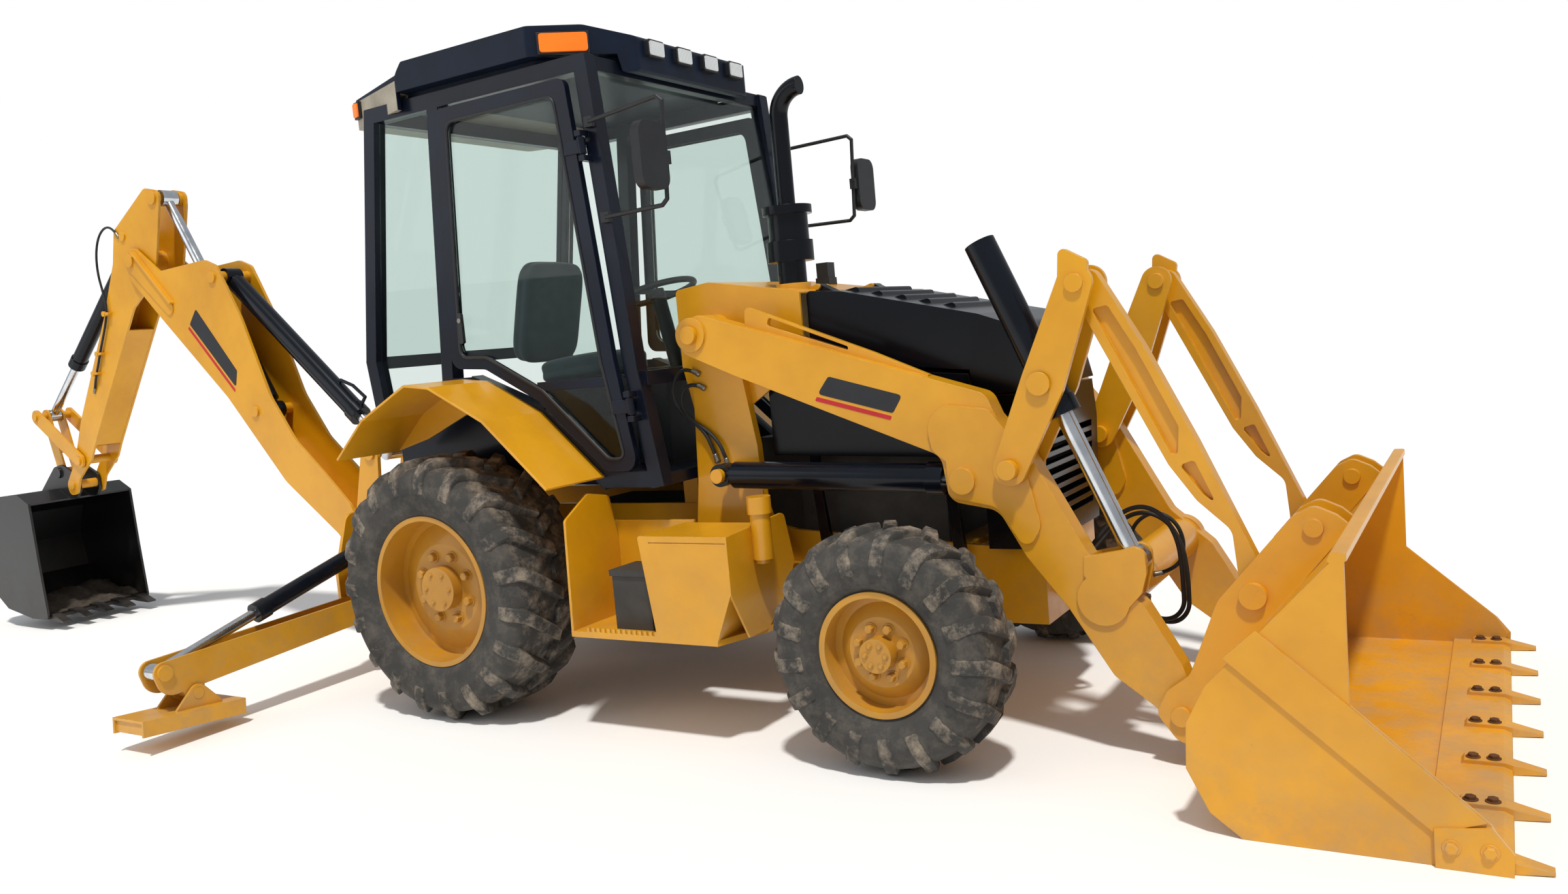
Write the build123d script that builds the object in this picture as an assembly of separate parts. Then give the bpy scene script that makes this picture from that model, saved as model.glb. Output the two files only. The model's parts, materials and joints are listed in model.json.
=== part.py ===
from build123d import *
import os
from math import sin, cos, tan, acos, radians, degrees, atan2, hypot, pi

# Backhoe loader, in mm.  +X runs forward, +Y to the left, +Z up, the floor is
# Z = 0.  Shapes are drawn with X = 0 at the rear axle; SHIFT_X moves all of it
# so that the length is centred on X = 0.
os.makedirs("parts", exist_ok=True)

RUN = 0.05            # radial running clearance of a pin in its bore
CLEAR = 6.0           # side gap between an eye and the ears beside it

# ------------------------------------------------------------- wheels
REAR_R = 600.0        # lug tip radius
REAR_W = 460.0        # over the shoulders
REAR_Y = 850.0        # half of the rear track
REAR_RIM_R = 343.0    # over the rim flange
REAR_RIM_W = 400.0
REAR_LUGS = 19        # per side
REAR_LUG_H = 34.0
REAR_LUG_T = 70.0
FRONT_R = 450.0
FRONT_W = 310.0
FRONT_Y = 930.0
FRONT_RIM_R = 228.0
FRONT_RIM_W = 250.0
FRONT_LUGS = 17
FRONT_LUG_H = 24.0
FRONT_LUG_T = 62.0
WHEELBASE = 2220.0
FLANGE = 14.0         # rim flange, radial and across
RIM_T = 9.0           # rim plate
KING_Y = 745.0        # kingpin
KING_R = 30.0

# ------------------------------------------------------------- loader
ARM_PIVOT = (1246.0, 1631.0)
BUCKET_PIN = (3155.0, 185.0)
LEVER_PIN = (2609.0, 1046.0)
TRUNNION = (2742.0, 1346.0)
LINK_TOP = (2888.0, 1681.0)
LINK_LOW = (3406.0, 613.0)
SPARE_PIN = (3597.0, 838.0)
TILT_EYE = (3011.0, 711.0)
LIFT_BASE = (1317.0, 1037.0)
LIFT_EYE = (2413.0, 1002.0)
TORQUE = (2904.0, 573.0)
ARM_Y = 565.0         # half spacing of the arms
EAR_GAP = 15.0        # between an arm's side and the bucket's ear
ARM_T = 90.0          # arm box section, across
LIFT_EYE_R = 48.0
TUBE_R = 85.0         # torque tube
ARM_PIN_R = 38.0
BUCKET_HALF = 1144.0
BUCKET_T = 12.0
EDGE_T = 25.0
TOOTH_TIP = 4200.0
TEETH = 7
LEVER_T = 22.0        # each lever plate
LEVER_GAP = 72.0      # from the arm's middle to a lever plate
TILT_R = 57.0
TILT_ROD_R = 32.0
LIFT_R = 56.0
LIFT_ROD_R = 30.0
EAR_T = 22.0
LINK_T = 60.0

# ------------------------------------------------------------- backhoe
SWING_X = -1400.0
BOOM_FOOT = (-1565.0, 560.0)
BOOM_TOP = (-1370.0, 1150.0)     # boom cylinder's pin on the swing frame
BOOM_HEAD = (-2657.0, 2278.0)
BOOM_MID = (-2397.0, 1432.0)
STICK_PIN = (-3500.0, 2471.0)
STICK_TOP = (-3221.0, 2843.0)
DIG_BASE = (-3604.0, 2643.0)
GUIDE_PIN = (-4467.0, 1175.0)
ROD_PIN = (-4958.0, 1505.0)
DIG_PIN = (-4640.0, 1000.0)
POWER_PIN = (-4840.0, 1090.0)
BOOM_IN = 112.0       # boom plate, inner face from the middle
BOOM_T = 18.0
STICK_IN = 86.0
STICK_T = 14.0
SWING_IN = 138.0
SWING_T = 22.0
HOE_R = 58.0          # boom and stick cylinder barrels
HOE_ROD_R = 32.0
DIG_CYL_R = 50.0
DIG_ROD_R = 28.0
DIG_HALF = 360.0      # half width of the digging bucket
DIG_T = 14.0
GUIDE_IN = 108.0
GUIDE_T = 18.0
POWER_IN = 42.0
POWER_T = 14.0
DIG_EAR_IN = 62.0
DIG_EAR_T = 18.0

# ------------------------------------------------------------- stabilizers
STAB_X = -1130.0
STAB_FOOT = (380.0, 370.0)       # leg's pin on the frame: Y, Z
STAB_TOP = (340.0, 705.0)        # cylinder's pin on the frame
STAB_ROD = (1680.0, 335.0)       # rod's pin on the leg
STAB_PAD = (1545.0, 205.0)       # pad's pin
LEG_IN = 50.0
LEG_T = 12.0
HOUSE_IN = 68.0
HOUSE_T = 22.0
STAB_R = 44.0
STAB_ROD_R = 26.0

# ------------------------------------------------------------- body
CAB_Y = 720.0         # outer face of the cab posts
ROOF_Z = 2990.0
FLOOR_Z = 1010.0
HOOD_Y = 400.0
FRAME_IN = 300.0
FRAME_T = 25.0
NOSE_X = WHEELBASE + 398      # front of the hood and its panels
DIG_BACK = -5520.0      # back of the digging bucket
SHIFT_X = -(TOOTH_TIP + DIG_BACK) / 2

SHAPES = {}


# ------------------------------------------------------------- helpers
def edges_of(points):
    """Closed outline from (x, z) or (x, z, corner radius)."""
    n = len(points)
    corners = []
    for i in range(n):
        x, z = points[i][0], points[i][1]
        r = points[i][2] if len(points[i]) > 2 else 0.0
        if r <= 0:
            corners.append(((x, z), None, (x, z)))
            continue
        px, pz = points[i - 1][0] - x, points[i - 1][1] - z
        qx, qz = points[(i + 1) % n][0] - x, points[(i + 1) % n][1] - z
        lp, lq = hypot(px, pz), hypot(qx, qz)
        px, pz, qx, qz = px / lp, pz / lp, qx / lq, qz / lq
        half = acos(max(-1.0, min(1.0, px * qx + pz * qz))) / 2
        d = min(r / tan(half), 0.49 * lp, 0.49 * lq)
        r = d * tan(half)
        bx, bz = px + qx, pz + qz
        lb = hypot(bx, bz)
        bx, bz = bx / lb, bz / lb
        m = r / sin(half) - r
        corners.append(((x + px * d, z + pz * d), (x + bx * m, z + bz * m),
                        (x + qx * d, z + qz * d)))
    out = []
    for i in range(n):
        a, m, b = corners[i]
        if m:
            out.append(ThreePointArc(a, m, b))
        c = corners[(i + 1) % n][0]
        if hypot(b[0] - c[0], b[1] - c[1]) > 1e-4:
            out.append(Line(b, c))
    return out


def side_plane(y):
    return Plane(origin=(0, y, 0), x_dir=(1, 0, 0), z_dir=(0, -1, 0))


def front_plane(x):
    return Plane(origin=(x, 0, 0), x_dir=(0, 1, 0), z_dir=(1, 0, 0))


def plate(points, y0, y1):
    """Outline in X, Z made solid between two Y values."""
    y0, y1 = min(y0, y1), max(y0, y1)
    face = Face(Wire(edges_of(points)))
    return extrude(side_plane(y1) * face, amount=y1 - y0, dir=(0, -1, 0))


def plate_x(points, x0, x1):
    """Outline in Y, Z made solid between two X values."""
    x0, x1 = min(x0, x1), max(x0, x1)
    face = Face(Wire(edges_of(points)))
    return extrude(front_plane(x0) * face, amount=x1 - x0, dir=(1, 0, 0))


def plate_z(points, z0, z1):
    """Outline in X, Y made solid between two Z values."""
    face = Face(Wire(edges_of(points)))
    return extrude(Plane(origin=(0, 0, z0)) * face, amount=z1 - z0, dir=(0, 0, 1))


def box(x0, x1, y0, y1, z0, z1):
    return Pos((x0 + x1) / 2, (y0 + y1) / 2, (z0 + z1) / 2) * Box(
        abs(x1 - x0), abs(y1 - y0), abs(z1 - z0))


def rod(p, q, r):
    p, q = Vector(*p), Vector(*q)
    return Plane(origin=p, z_dir=(q - p)) * Cylinder(
        r, (q - p).length, align=(Align.CENTER, Align.CENTER, Align.MIN))


def pin_y(pin, y0, y1, r):
    return rod((pin[0], y0, pin[1]), (pin[0], y1, pin[1]), r)


def beam(p, q, w, t, up=(0, 1, 0)):
    """Rectangular bar from p to q: w along up, t across."""
    p, q = Vector(*p), Vector(*q)
    return Plane(origin=p, x_dir=Vector(*up), z_dir=(q - p)) * Box(
        w, t, (q - p).length, align=(Align.CENTER, Align.CENTER, Align.MIN))


def bar(circles, y0, y1):
    """Plate round the hull of circles (x, z, radius)."""
    y0, y1 = min(y0, y1), max(y0, y1)
    edges = []
    for x, z, r in circles:
        edges += (Pos(x, z) * Circle(r)).edges()
    return extrude(side_plane(y1) * make_hull(edges), amount=y1 - y0, dir=(0, -1, 0))


def bar_x(circles, x0, x1):
    x0, x1 = min(x0, x1), max(x0, x1)
    edges = []
    for y, z, r in circles:
        edges += (Pos(y, z) * Circle(r)).edges()
    return extrude(front_plane(x0) * make_hull(edges), amount=x1 - x0, dir=(1, 0, 0))


def strip(path, t, y0, y1, side=1):
    """Bent sheet: a path in X, Z thickened by t to one side."""
    n = len(path)
    off = []
    for i in range(n):
        dirs = []
        for a, b in ((i - 1, i), (i, i + 1)):
            if a < 0 or b >= n:
                continue
            dx, dz = path[b][0] - path[a][0], path[b][1] - path[a][1]
            s = hypot(dx, dz)
            dirs.append((-dz / s * side, dx / s * side))
        nx = sum(d[0] for d in dirs)
        nz = sum(d[1] for d in dirs)
        s = hypot(nx, nz)
        nx, nz = nx / s, nz / s
        k = t / (nx * dirs[0][0] + nz * dirs[0][1])
        off.append((path[i][0] + nx * k, path[i][1] + nz * k))
    return plate([tuple(p[:2]) for p in path] + off[::-1], y0, y1)


def fuse(*shapes):
    flat = []
    for s in shapes:
        flat += list(s) if isinstance(s, (list, tuple)) else [s]
    return flat[0] if len(flat) == 1 else flat[0].fuse(*flat[1:])


def cut(shape, *tools):
    flat = []
    for s in tools:
        flat += list(s) if isinstance(s, (list, tuple)) else [s]
    return shape.cut(*flat)


def both(shape):
    """A shape and its mirror image at the other side of the machine."""
    return [shape, shape.mirror(Plane.XZ)]


def along(p, q, d):
    """Point at distance d from p toward q, in any number of axes."""
    s = sum((b - a) ** 2 for a, b in zip(p, q)) ** 0.5
    return tuple(a + (b - a) * d / s for a, b in zip(p, q))


def put(name, *shapes):
    flat = []
    for s in shapes:
        flat += list(s) if isinstance(s, (list, tuple)) else [s]
    solids = []
    for s in flat:
        solids += s.solids()
    SHAPES[name] = solids


def cylinder(base, eye, y, bore_r, rod_r, out_r, start, end, rod_in, eye_r,
             eye_w, base_bore):
    """Barrel and rod between two pins, in X, Z at one Y.

    start and end are the barrel's ends from the base pin, rod_in is the rod's
    length from its eye's pin.  Returns (barrel, rod)."""
    b3 = (base[0], y, base[1])
    e3 = (eye[0], y, eye[1])
    full = hypot(eye[0] - base[0], eye[1] - base[1])
    tube = rod(along(b3, e3, start), along(b3, e3, end), out_r)
    gland = rod(along(b3, e3, end - 70), along(b3, e3, end), out_r + 7)
    barrel = fuse(tube, gland)
    if base_bore:
        barrel = fuse(barrel,
                      rod(along(b3, e3, eye_r * 0.5), along(b3, e3, start + 5),
                          out_r * 0.7),
                      pin_y(base, y - eye_w / 2, y + eye_w / 2, eye_r))
        barrel = cut(barrel, pin_y(base, y - eye_w, y + eye_w, base_bore + RUN))
    barrel = cut(barrel, rod(along(b3, e3, full - rod_in - 6), along(b3, e3, end + 5),
                             rod_r + RUN) if not base_bore else
                 rod(along(b3, e3, start + 20), along(b3, e3, end + 5), rod_r + RUN))
    shaft = rod(along(e3, b3, eye_r * 0.5), along(e3, b3, rod_in), rod_r)
    head = pin_y(eye, y - eye_w / 2, y + eye_w / 2, eye_r)
    return barrel, fuse(shaft, head)


# ------------------------------------------------------------- wheels
def wheel(radius, width, rim_r, rim_w, lugs, lug_h, lug_t, slant, side):
    """Tyre and rim round the Y axis at the origin; side is +1 for the left."""
    bed = rim_r - FLANGE
    crown = radius - lug_h
    half = width / 2
    seat = rim_w / 2 - FLANGE
    wall = 26.0
    outer = [(-seat, bed), (-seat, rim_r + 4), (-half + 14, rim_r + 60),
             (-half, rim_r + (crown - rim_r) * 0.55), (-half + 22, crown - 42),
             (-half + 80, crown - 6), (half - 80, crown - 6),
             (half - 22, crown - 42), (half, rim_r + (crown - rim_r) * 0.55),
             (half - 14, rim_r + 60), (seat, rim_r + 4), (seat, bed)]
    inner = [(-seat + wall, bed - 5), (-seat + wall, rim_r + 12),
             (-half + wall + 20, rim_r + 70),
             (-half + wall + 6, rim_r + (crown - rim_r) * 0.6),
             (-half + 90, crown - 40), (half - 90, crown - 40),
             (half - wall - 6, rim_r + (crown - rim_r) * 0.6),
             (half - wall - 20, rim_r + 70), (seat - wall, rim_r + 12),
             (seat - wall, bed - 5)]
    limit = [(-half - 6, bed), (-half - 6, radius - 150), (-half + 6, radius - 75),
             (-half + 62, radius - 6), (-half + 110, radius), (half - 110, radius),
             (half - 62, radius - 6), (half - 6, radius - 75), (half + 6, radius - 150),
             (half + 6, bed)]

    def turned(points):
        face = Face(Wire(edges_of(points)))
        return revolve(Plane.YZ * face, Axis.Y, 360)

    body = turned(outer)
    bars = []
    length = half + 6 + 14
    for i in range(lugs):
        for s in (-1, 1):
            turn = 360.0 / lugs * (i + (0.5 if s > 0 else 0.0))
            block = Pos(0, s * (length / 2 - 14), radius - 80) * (
                Rot(0, 0, s * slant) * Box(lug_t, length * 1.16, 168))
            bars.append(Rot(0, turn, 0) * block)
    ring = fuse(*bars) & turned(limit)
    tyre = cut(body.fuse(*ring.solids()), turned(inner))
    bed_in = bed - RIM_T
    dish = side * rim_w * 0.14
    rim = [(-rim_w / 2, rim_r), (-seat, rim_r), (-seat, bed), (seat, bed),
           (seat, rim_r), (rim_w / 2, rim_r), (rim_w / 2, bed_in), (dish + 8, bed_in),
           (dish + 8, bed_in - 30), (dish + 34 * side + 8, bed_in * 0.62),
           (dish + 34 * side + 8, 60), (dish + 34 * side - 8, 60),
           (dish + 34 * side - 8, bed_in * 0.62), (dish - 8, bed_in - 30),
           (dish - 8, bed_in), (-rim_w / 2, bed_in)]
    return tyre, turned(rim)


rear_tyre, rear_rim = wheel(REAR_R, REAR_W, REAR_RIM_R, REAR_RIM_W, REAR_LUGS,
                            REAR_LUG_H, REAR_LUG_T, 32, -1)
front_tyre, front_rim = wheel(FRONT_R, FRONT_W, FRONT_RIM_R, FRONT_RIM_W, FRONT_LUGS,
                              FRONT_LUG_H, FRONT_LUG_T, 26, -1)


def hub(reach, r, bolts, bolt_r, ring_r, face, side):
    """Hub and nuts on the wheel's outer side; face is the disc's outer face."""
    out = [rod((0, side * (face - reach), 0), (0, side * (face + 55), 0), r)]
    for i in range(bolts):
        a = 2 * pi * (i + 0.5) / bolts
        out.append(rod((ring_r * cos(a), side * (face - 2), ring_r * sin(a)),
                       (ring_r * cos(a), side * (face + 22), ring_r * sin(a)), bolt_r))
    return out


REAR_FACE = REAR_RIM_W * 0.14 + 34 + 8      # disc's outer face from the rim's middle
FRONT_FACE = FRONT_RIM_W * 0.14 + 34 + 8
rear_rim = fuse(rear_rim, hub(60, 100, 8, 14, 150, REAR_FACE, -1))
front_rim = fuse(front_rim, hub(60, 62, 8, 11, 92, FRONT_FACE, -1))
for tag, sign in (("r", -1), ("l", 1)):
    for name, tyre, rim, x, y, z in (
            ("rear", rear_tyre, rear_rim, 0.0, REAR_Y, REAR_R),
            ("front", front_tyre, front_rim, WHEELBASE, FRONT_Y, FRONT_R)):
        t, m = Pos(x, -y, z) * tyre, Pos(x, -y, z) * rim
        if sign > 0:
            t, m = t.mirror(Plane.XZ), m.mirror(Plane.XZ)
        put(f"{name}_tyre_{tag}", t)
        put(f"{name}_rim_{tag}", m)

# ------------------------------------------------------------- axles
HUB_SIDE = 0.3        # running gap beside a wheel hub
axle_end = REAR_Y + REAR_FACE - 60 - HUB_SIDE     # wheel hub's inner face
rear_axle = fuse(rod((0, -axle_end, REAR_R), (0, axle_end, REAR_R), 105),
                 rod((0, -170, REAR_R), (0, 170, REAR_R), 185),
                 box(-100, 100, -FRAME_IN - 60, FRAME_IN + 60, REAR_R, 720),
                 both(rod((0, axle_end - 130, REAR_R), (0, axle_end, REAR_R), 150)))
beam_top = FRONT_R + 65
fork = [plate_z([(WHEELBASE - 60, 600), (WHEELBASE - 60, KING_Y, 0),
                 (WHEELBASE - 30, KING_Y + 45), (WHEELBASE + 30, KING_Y + 45),
                 (WHEELBASE + 60, KING_Y), (WHEELBASE + 60, 600)], z0, z1)
        for z0, z1 in ((FRONT_R + 72, FRONT_R + 102), (FRONT_R - 102, FRONT_R - 72))]
front_half = fuse(box(WHEELBASE - 70, WHEELBASE + 70, 0, 650, FRONT_R - 70, FRONT_R + 72),
                  box(WHEELBASE - 60, WHEELBASE + 60, 590, 650, FRONT_R - 102,
                      FRONT_R + 102), fork,
                  rod((WHEELBASE, KING_Y, FRONT_R - 112), (WHEELBASE, KING_Y, FRONT_R + 112),
                      KING_R))
front_axle = fuse(both(front_half))
put("axles", rear_axle, front_axle)

spindle_end = FRONT_Y + FRONT_FACE - 60 - HUB_SIDE
knuckle = fuse(box(WHEELBASE - 52, WHEELBASE + 52, KING_Y - 48, KING_Y + 50, FRONT_R - 66,
                   FRONT_R + 66),
               rod((WHEELBASE, KING_Y + 40, FRONT_R), (WHEELBASE, spindle_end, FRONT_R), 60))
knuckle = cut(knuckle, rod((WHEELBASE, KING_Y, 200), (WHEELBASE, KING_Y, 800), KING_R + RUN))
put("knuckle_l", knuckle)
put("knuckle_r", knuckle.mirror(Plane.XZ))

# ------------------------------------------------------------- main frame
rail = plate([(-1040, 300), (-1040, 880), (1050, 880), (1500, 760), (WHEELBASE + 170, 700),
              (WHEELBASE + 340, 700), (WHEELBASE + 340, 540), (1700, 540), (300, 430),
              (180, 720), (-180, 720), (-300, 430), (-600, 330)], FRAME_IN,
             FRAME_IN + FRAME_T)
tower = plate([(1060, 560), (1120, 1000), (1150, 1600), (1190, 1710, 60), (1310, 1710, 60),
               (1370, 1600), (1440, 1150), (1450, 900), (1560, 560)], 440, 480)
outrigger = box(1080, 1540, FRAME_IN + 5, 445, 520, 620)
cross = box(1150, 1250, -FRAME_IN - 5, FRAME_IN + 5, 560, 660)
nose_x = WHEELBASE + 380
nose = box(WHEELBASE + 110, nose_x, -FRAME_IN - FRAME_T, FRAME_IN + FRAME_T, 395, 700)
house = [plate_x([(-600, 300), (-600, 560), (-500, 860, 60), (500, 860, 60), (600, 560),
                  (600, 300)], STAB_X + s * HOUSE_IN, STAB_X + s * (HOUSE_IN + HOUSE_T))
         for s in (-1, 1)]
tie = box(STAB_X - HOUSE_IN - 5, STAB_X + HOUSE_IN + 5, -250, 250, 560, 600)
tie2 = box(STAB_X - HOUSE_IN - 5, STAB_X + HOUSE_IN + 5, -120, 120, 300, 330)
stab_pins = [rod((STAB_X - HOUSE_IN - HOUSE_T - 14, s * p[0], p[1]),
                 (STAB_X + HOUSE_IN + HOUSE_T + 14, s * p[0], p[1]), 28)
             for s in (-1, 1) for p in (STAB_FOOT, STAB_TOP)]
house_back = STAB_X - HOUSE_IN - HOUSE_T
swing_ears = [plate_z([(house_back + 5, -75), (SWING_X, -75), (SWING_X - 74, -20, 50),
                       (SWING_X - 74, 20, 50), (SWING_X, 75), (house_back + 5, 75)],
                      z0, z1) for z0, z1 in ((705, 735), (330, 360))]
king = rod((SWING_X, 0, 322), (SWING_X, 0, 745), 40)
arm_pins = both(pin_y(ARM_PIVOT, 445, ARM_Y + ARM_T / 2 + 30, ARM_PIN_R))
lift_pins = both(pin_y(LIFT_BASE, 445, ARM_Y + 62, 30))
frame = fuse(both(rail), both(tower), both(outrigger), cross, nose, house, tie, tie2,
             stab_pins, swing_ears, king, arm_pins, lift_pins,
             box(-1045, -1035, -320, 320, 300, 860))
axle_mount = box(WHEELBASE - 60, WHEELBASE + 60, -FRAME_IN - 5, FRAME_IN + 5,
                 FRONT_R + 72, 700)
cab_mounts = [box(x - 40, x + 40, s * FRAME_IN - 5, s * FRAME_IN + s * FRAME_T + 5, 870, FLOOR_Z)
              for x in (-480, 960) for s in (-1, 1)]
frame = fuse(frame, axle_mount, cab_mounts)
put("main_frame", frame)
TIE_R = 24.0          # bore for a shackle pin
TIE_REAR = (-1275.0, 330.0)
TIE_Y = 250.0
STEP_Z = 451.0        # top of the step
TOW_X = WHEELBASE + 445
rear_lugs = both(cut(bar([(*TIE_REAR, 42), (house_back, 335, 50)], TIE_Y, TIE_Y + 25),
                     box(house_back, 0, 200, 600, 200, 600),
                     pin_y(TIE_REAR, 200, 400, TIE_R)))
tow_plate = cut(plate_z([(nose_x, -110), (TOW_X, -55, 45), (TOW_X + 48, 0, 60), (TOW_X, 55, 45),
                         (nose_x, 110)], 455, 485),
                rod((TOW_X, 0, 400), (TOW_X, 0, 500), TIE_R))
put("tie_lugs", rear_lugs, tow_plate)

engine = fuse(box(1500, 2180, -250, 250, 700, 1300), box(1250, 1500, -180, 180, 700, 1150))
gearbox = box(200, 1150, -200, 200, 480, 860)
battery = fuse(box(960, 1150, -930, -760, STEP_Z, 690), box(952, 1158, -938, -752, 675, 700))
put("engine_battery", engine, gearbox, battery)

# ------------------------------------------------------------- hood and panels
HOOD_LOW = 1300.0     # where the hood ends above the front panel
HOOD_PIN = (1689.0, 1784.0)
HOOD_T = 12.0


def hood_z(x, drop=0.0):
    """Height of the hood's sloping top at x."""
    return 1752 - (x - 1850) * 142 / (NOSE_X - 2038) - drop


hood_path = [(1694, 1560), (1694, 1768, 20), (1850, hood_z(1850), 60),
             (NOSE_X - 188, hood_z(NOSE_X - 188), 60), (NOSE_X - 58, 1560, 60),
             (NOSE_X, HOOD_LOW + 5)]
hood = cut(plate(hood_path + [(NOSE_X - 218, HOOD_LOW + 5), (NOSE_X - 238, 1400),
                              (1700, 1480)], -HOOD_Y, HOOD_Y),
           plate([(1600, 1000), (1600, 1762), (1694, 1754), (1848, 1752 - HOOD_T - 2),
                  (NOSE_X - 193, hood_z(NOSE_X - 193, HOOD_T + 4)), (NOSE_X - 73, 1548),
                  (NOSE_X - 15, HOOD_LOW - 2), (NOSE_X - 15, 1000)], -HOOD_Y + HOOD_T,
                 HOOD_Y - HOOD_T))
louvres = [plate([(x, hood_z(x, 5)), (x + 52, hood_z(x + 52) + 16, 8),
                  (x + 62, hood_z(x + 62) + 14, 6), (x + 70, hood_z(x + 70, 5))], -260, 260)
           for x in (1800 + 105 * i for i in range(5))]
hood = fuse(hood, louvres)
hood = fuse(hood, [bar([(*HOOD_PIN, 12), (1752, 1756, 7)], s * 250 - 30, s * 250 + 30)
                   for s in (-1, 1)])
hood = cut(hood, pin_y(HOOD_PIN, -400, 400, 6 + RUN))
put("hood", hood)
COWL_Y = 440.0        # meets the towers' inner faces
cowl = cut(plate([(1066, 1500), (1066, 1830, 20), (1240, 1850, 60), (1684, 1772, 10),
                  (1684, 1485), (1380, 1300), (1110, 1300)], -COWL_Y, COWL_Y),
           plate([(990, 1200), (990, 1815), (1236, 1836), (1700, 1757), (1700, 1200)],
                 -COWL_Y + 12, COWL_Y - 12))
cowl = fuse(cowl, [bar([(*HOOD_PIN, 12), (1636, 1774, 7)], s * 250 + e, s * 250 + e + 14)
                   for s in (-1, 1) for e in (31, -45)],
            [pin_y(HOOD_PIN, s * 250 - 40, s * 250 + 40, 6) for s in (-1, 1)])
EX = (1585.0, -310.0)
cowl = fuse(cowl, rod((EX[0], EX[1], 1768), (EX[0], EX[1], 1808), 74))
put("cowl", cowl)
side_panel = plate([(1470, 1095), (1470, 1470), (NOSE_X - 242, 1385), (NOSE_X - 242, 1060)],
                   380, 398)
stays = [plate_x([(FRAME_IN + FRAME_T, 620), (FRAME_IN + FRAME_T, 690), (382, 960), (382, 1110),
                  (396, 1110), (396, 950), (345, 620)], x, x + 45) for x in (1640, 2240)]
front_panel = plate([(NOSE_X - 218, 700), (NOSE_X - 218, HOOD_LOW - 5), (NOSE_X, HOOD_LOW - 5),
                     (NOSE_X + 10, 1140, 200), (NOSE_X - 8, 700)], -380, 380)
front_panel = cut(front_panel, box(NOSE_X - 228, NOSE_X - 28, -350, 350, 730, HOOD_LOW + 20),
                  [box(NOSE_X - 60, NOSE_X + 20, -300, 300, z, z + 26)
                   for z in (780 + 46 * i for i in range(8))])
put("engine_panels", both(fuse(side_panel, stays)), front_panel)

# ------------------------------------------------------------- exhaust
exhaust = fuse(rod((EX[0], EX[1], 1808), (EX[0], EX[1], 1905), 60),
               rod((EX[0], EX[1], 1900), (EX[0], EX[1], 1985), 98),
               rod((EX[0], EX[1], 1980), (EX[0], EX[1], 2100), 84),
               rod((EX[0], EX[1], 2095), (EX[0], EX[1], 2130), 104),
               rod((EX[0], EX[1], 2125), (EX[0], EX[1], 2470), 38))
tail_path = Line((EX[0], EX[1], 2465), (EX[0], EX[1], 2500)) + ThreePointArc(
    (EX[0], EX[1], 2500), (EX[0] + 32, EX[1], 2577), (EX[0] + 110, EX[1], 2610))
tail = sweep(Plane(origin=(EX[0], EX[1], 2465)) * Circle(38), tail_path)
exhaust = fuse(exhaust, tail)
put("exhaust", exhaust)

# ------------------------------------------------------------- cab
post = 70.0
CAB_TOP = 2835.0      # the roof lies on the top bars here
posts = []
for p, q in (((887, CAB_TOP - 8), (1000, 1480)), ((1000, 1500), (1080, FLOOR_Z)),
             ((14, CAB_TOP - 8), (-90, 1500)), ((-110, 1500), (75, 1500)),
             ((60, 1508), (480, 1338)), ((455, 1352), (815, 1035)),
             ((-408, CAB_TOP - 8), (-600, 1640)), ((-600, 1660), (-560, 1350)),
             ((-590, 1370), (-90, 1500)),
             ((-440, CAB_TOP - post / 2), (915, CAB_TOP - post / 2)),
             ((800, FLOOR_Z + 35), (1090, FLOOR_Z + 35))):
    posts.append(beam((p[0], CAB_Y - post / 2, p[1]), (q[0], CAB_Y - post / 2, q[1]),
                      post, post))
crossbars = [box(x0, x1, -CAB_Y + 30, CAB_Y - 30, z0, z1) for x0, x1, z0, z1 in (
    (850, 905, CAB_TOP - 60, CAB_TOP), (-440, -385, CAB_TOP - post, CAB_TOP),
    (-600, -545, 1330, 1380),
    (-625, -565, 1610, 1670), (1000, 1060, 1440, 1500), (1040, 1090, 1010, 1060))]
ARCH_Y = 590.0        # inner wall of the wheel arches
arch = strip([(-590, 1335), (-100, 1463), (68, 1463), (462, 1305), (795, 1010)], 12, ARCH_Y,
             CAB_Y - 5, -1)
arch_wall = plate([(-590, FLOOR_Z), (-590, 1330), (-100, 1458), (68, 1458), (458, 1300),
                   (785, FLOOR_Z)], ARCH_Y, ARCH_Y + 12)
floor = fuse(box(780, 1090, -CAB_Y + 20, CAB_Y - 20, FLOOR_Z, FLOOR_Z + 30),
             box(-590, 800, -ARCH_Y - 5, ARCH_Y + 5, FLOOR_Z, FLOOR_Z + 30), both(arch),
             both(arch_wall),
             box(-590, -578, -ARCH_Y - 5, ARCH_Y + 5, FLOOR_Z, 1340))
DOOR_HINGE = ((1040.0, 1100.0), (860.0, 2745.0))     # leans with the front post
DOOR_HINGE_Y = CAB_Y + 40.0
HINGE_R = 9.0
top3 = (DOOR_HINGE[1][0], DOOR_HINGE_Y, DOOR_HINGE[1][1])
low3 = (DOOR_HINGE[0][0], DOOR_HINGE_Y, DOOR_HINGE[0][1])
hinges = []           # on the posts
leaves = []           # on the door
for d in (260.0, 1360.0):
    hinges.append(rod(along(low3, top3, d - 62), along(low3, top3, d + 62), HINGE_R))
    for e in (-52.0, 52.0):
        m = along(low3, top3, d + e)
        hinges.append(box(m[0] - 16, m[0] + 16, CAB_Y - 10, DOOR_HINGE_Y + 16, m[2] - 12,
                          m[2] + 12))
    m = along(low3, top3, d)
    leaves.append(rod(along(low3, top3, d - 34), along(low3, top3, d + 34), 17))
    leaves.append(box(m[0] - 96, m[0], CAB_Y + 30, CAB_Y + 44, m[2] - 28, m[2] + 28))
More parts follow.
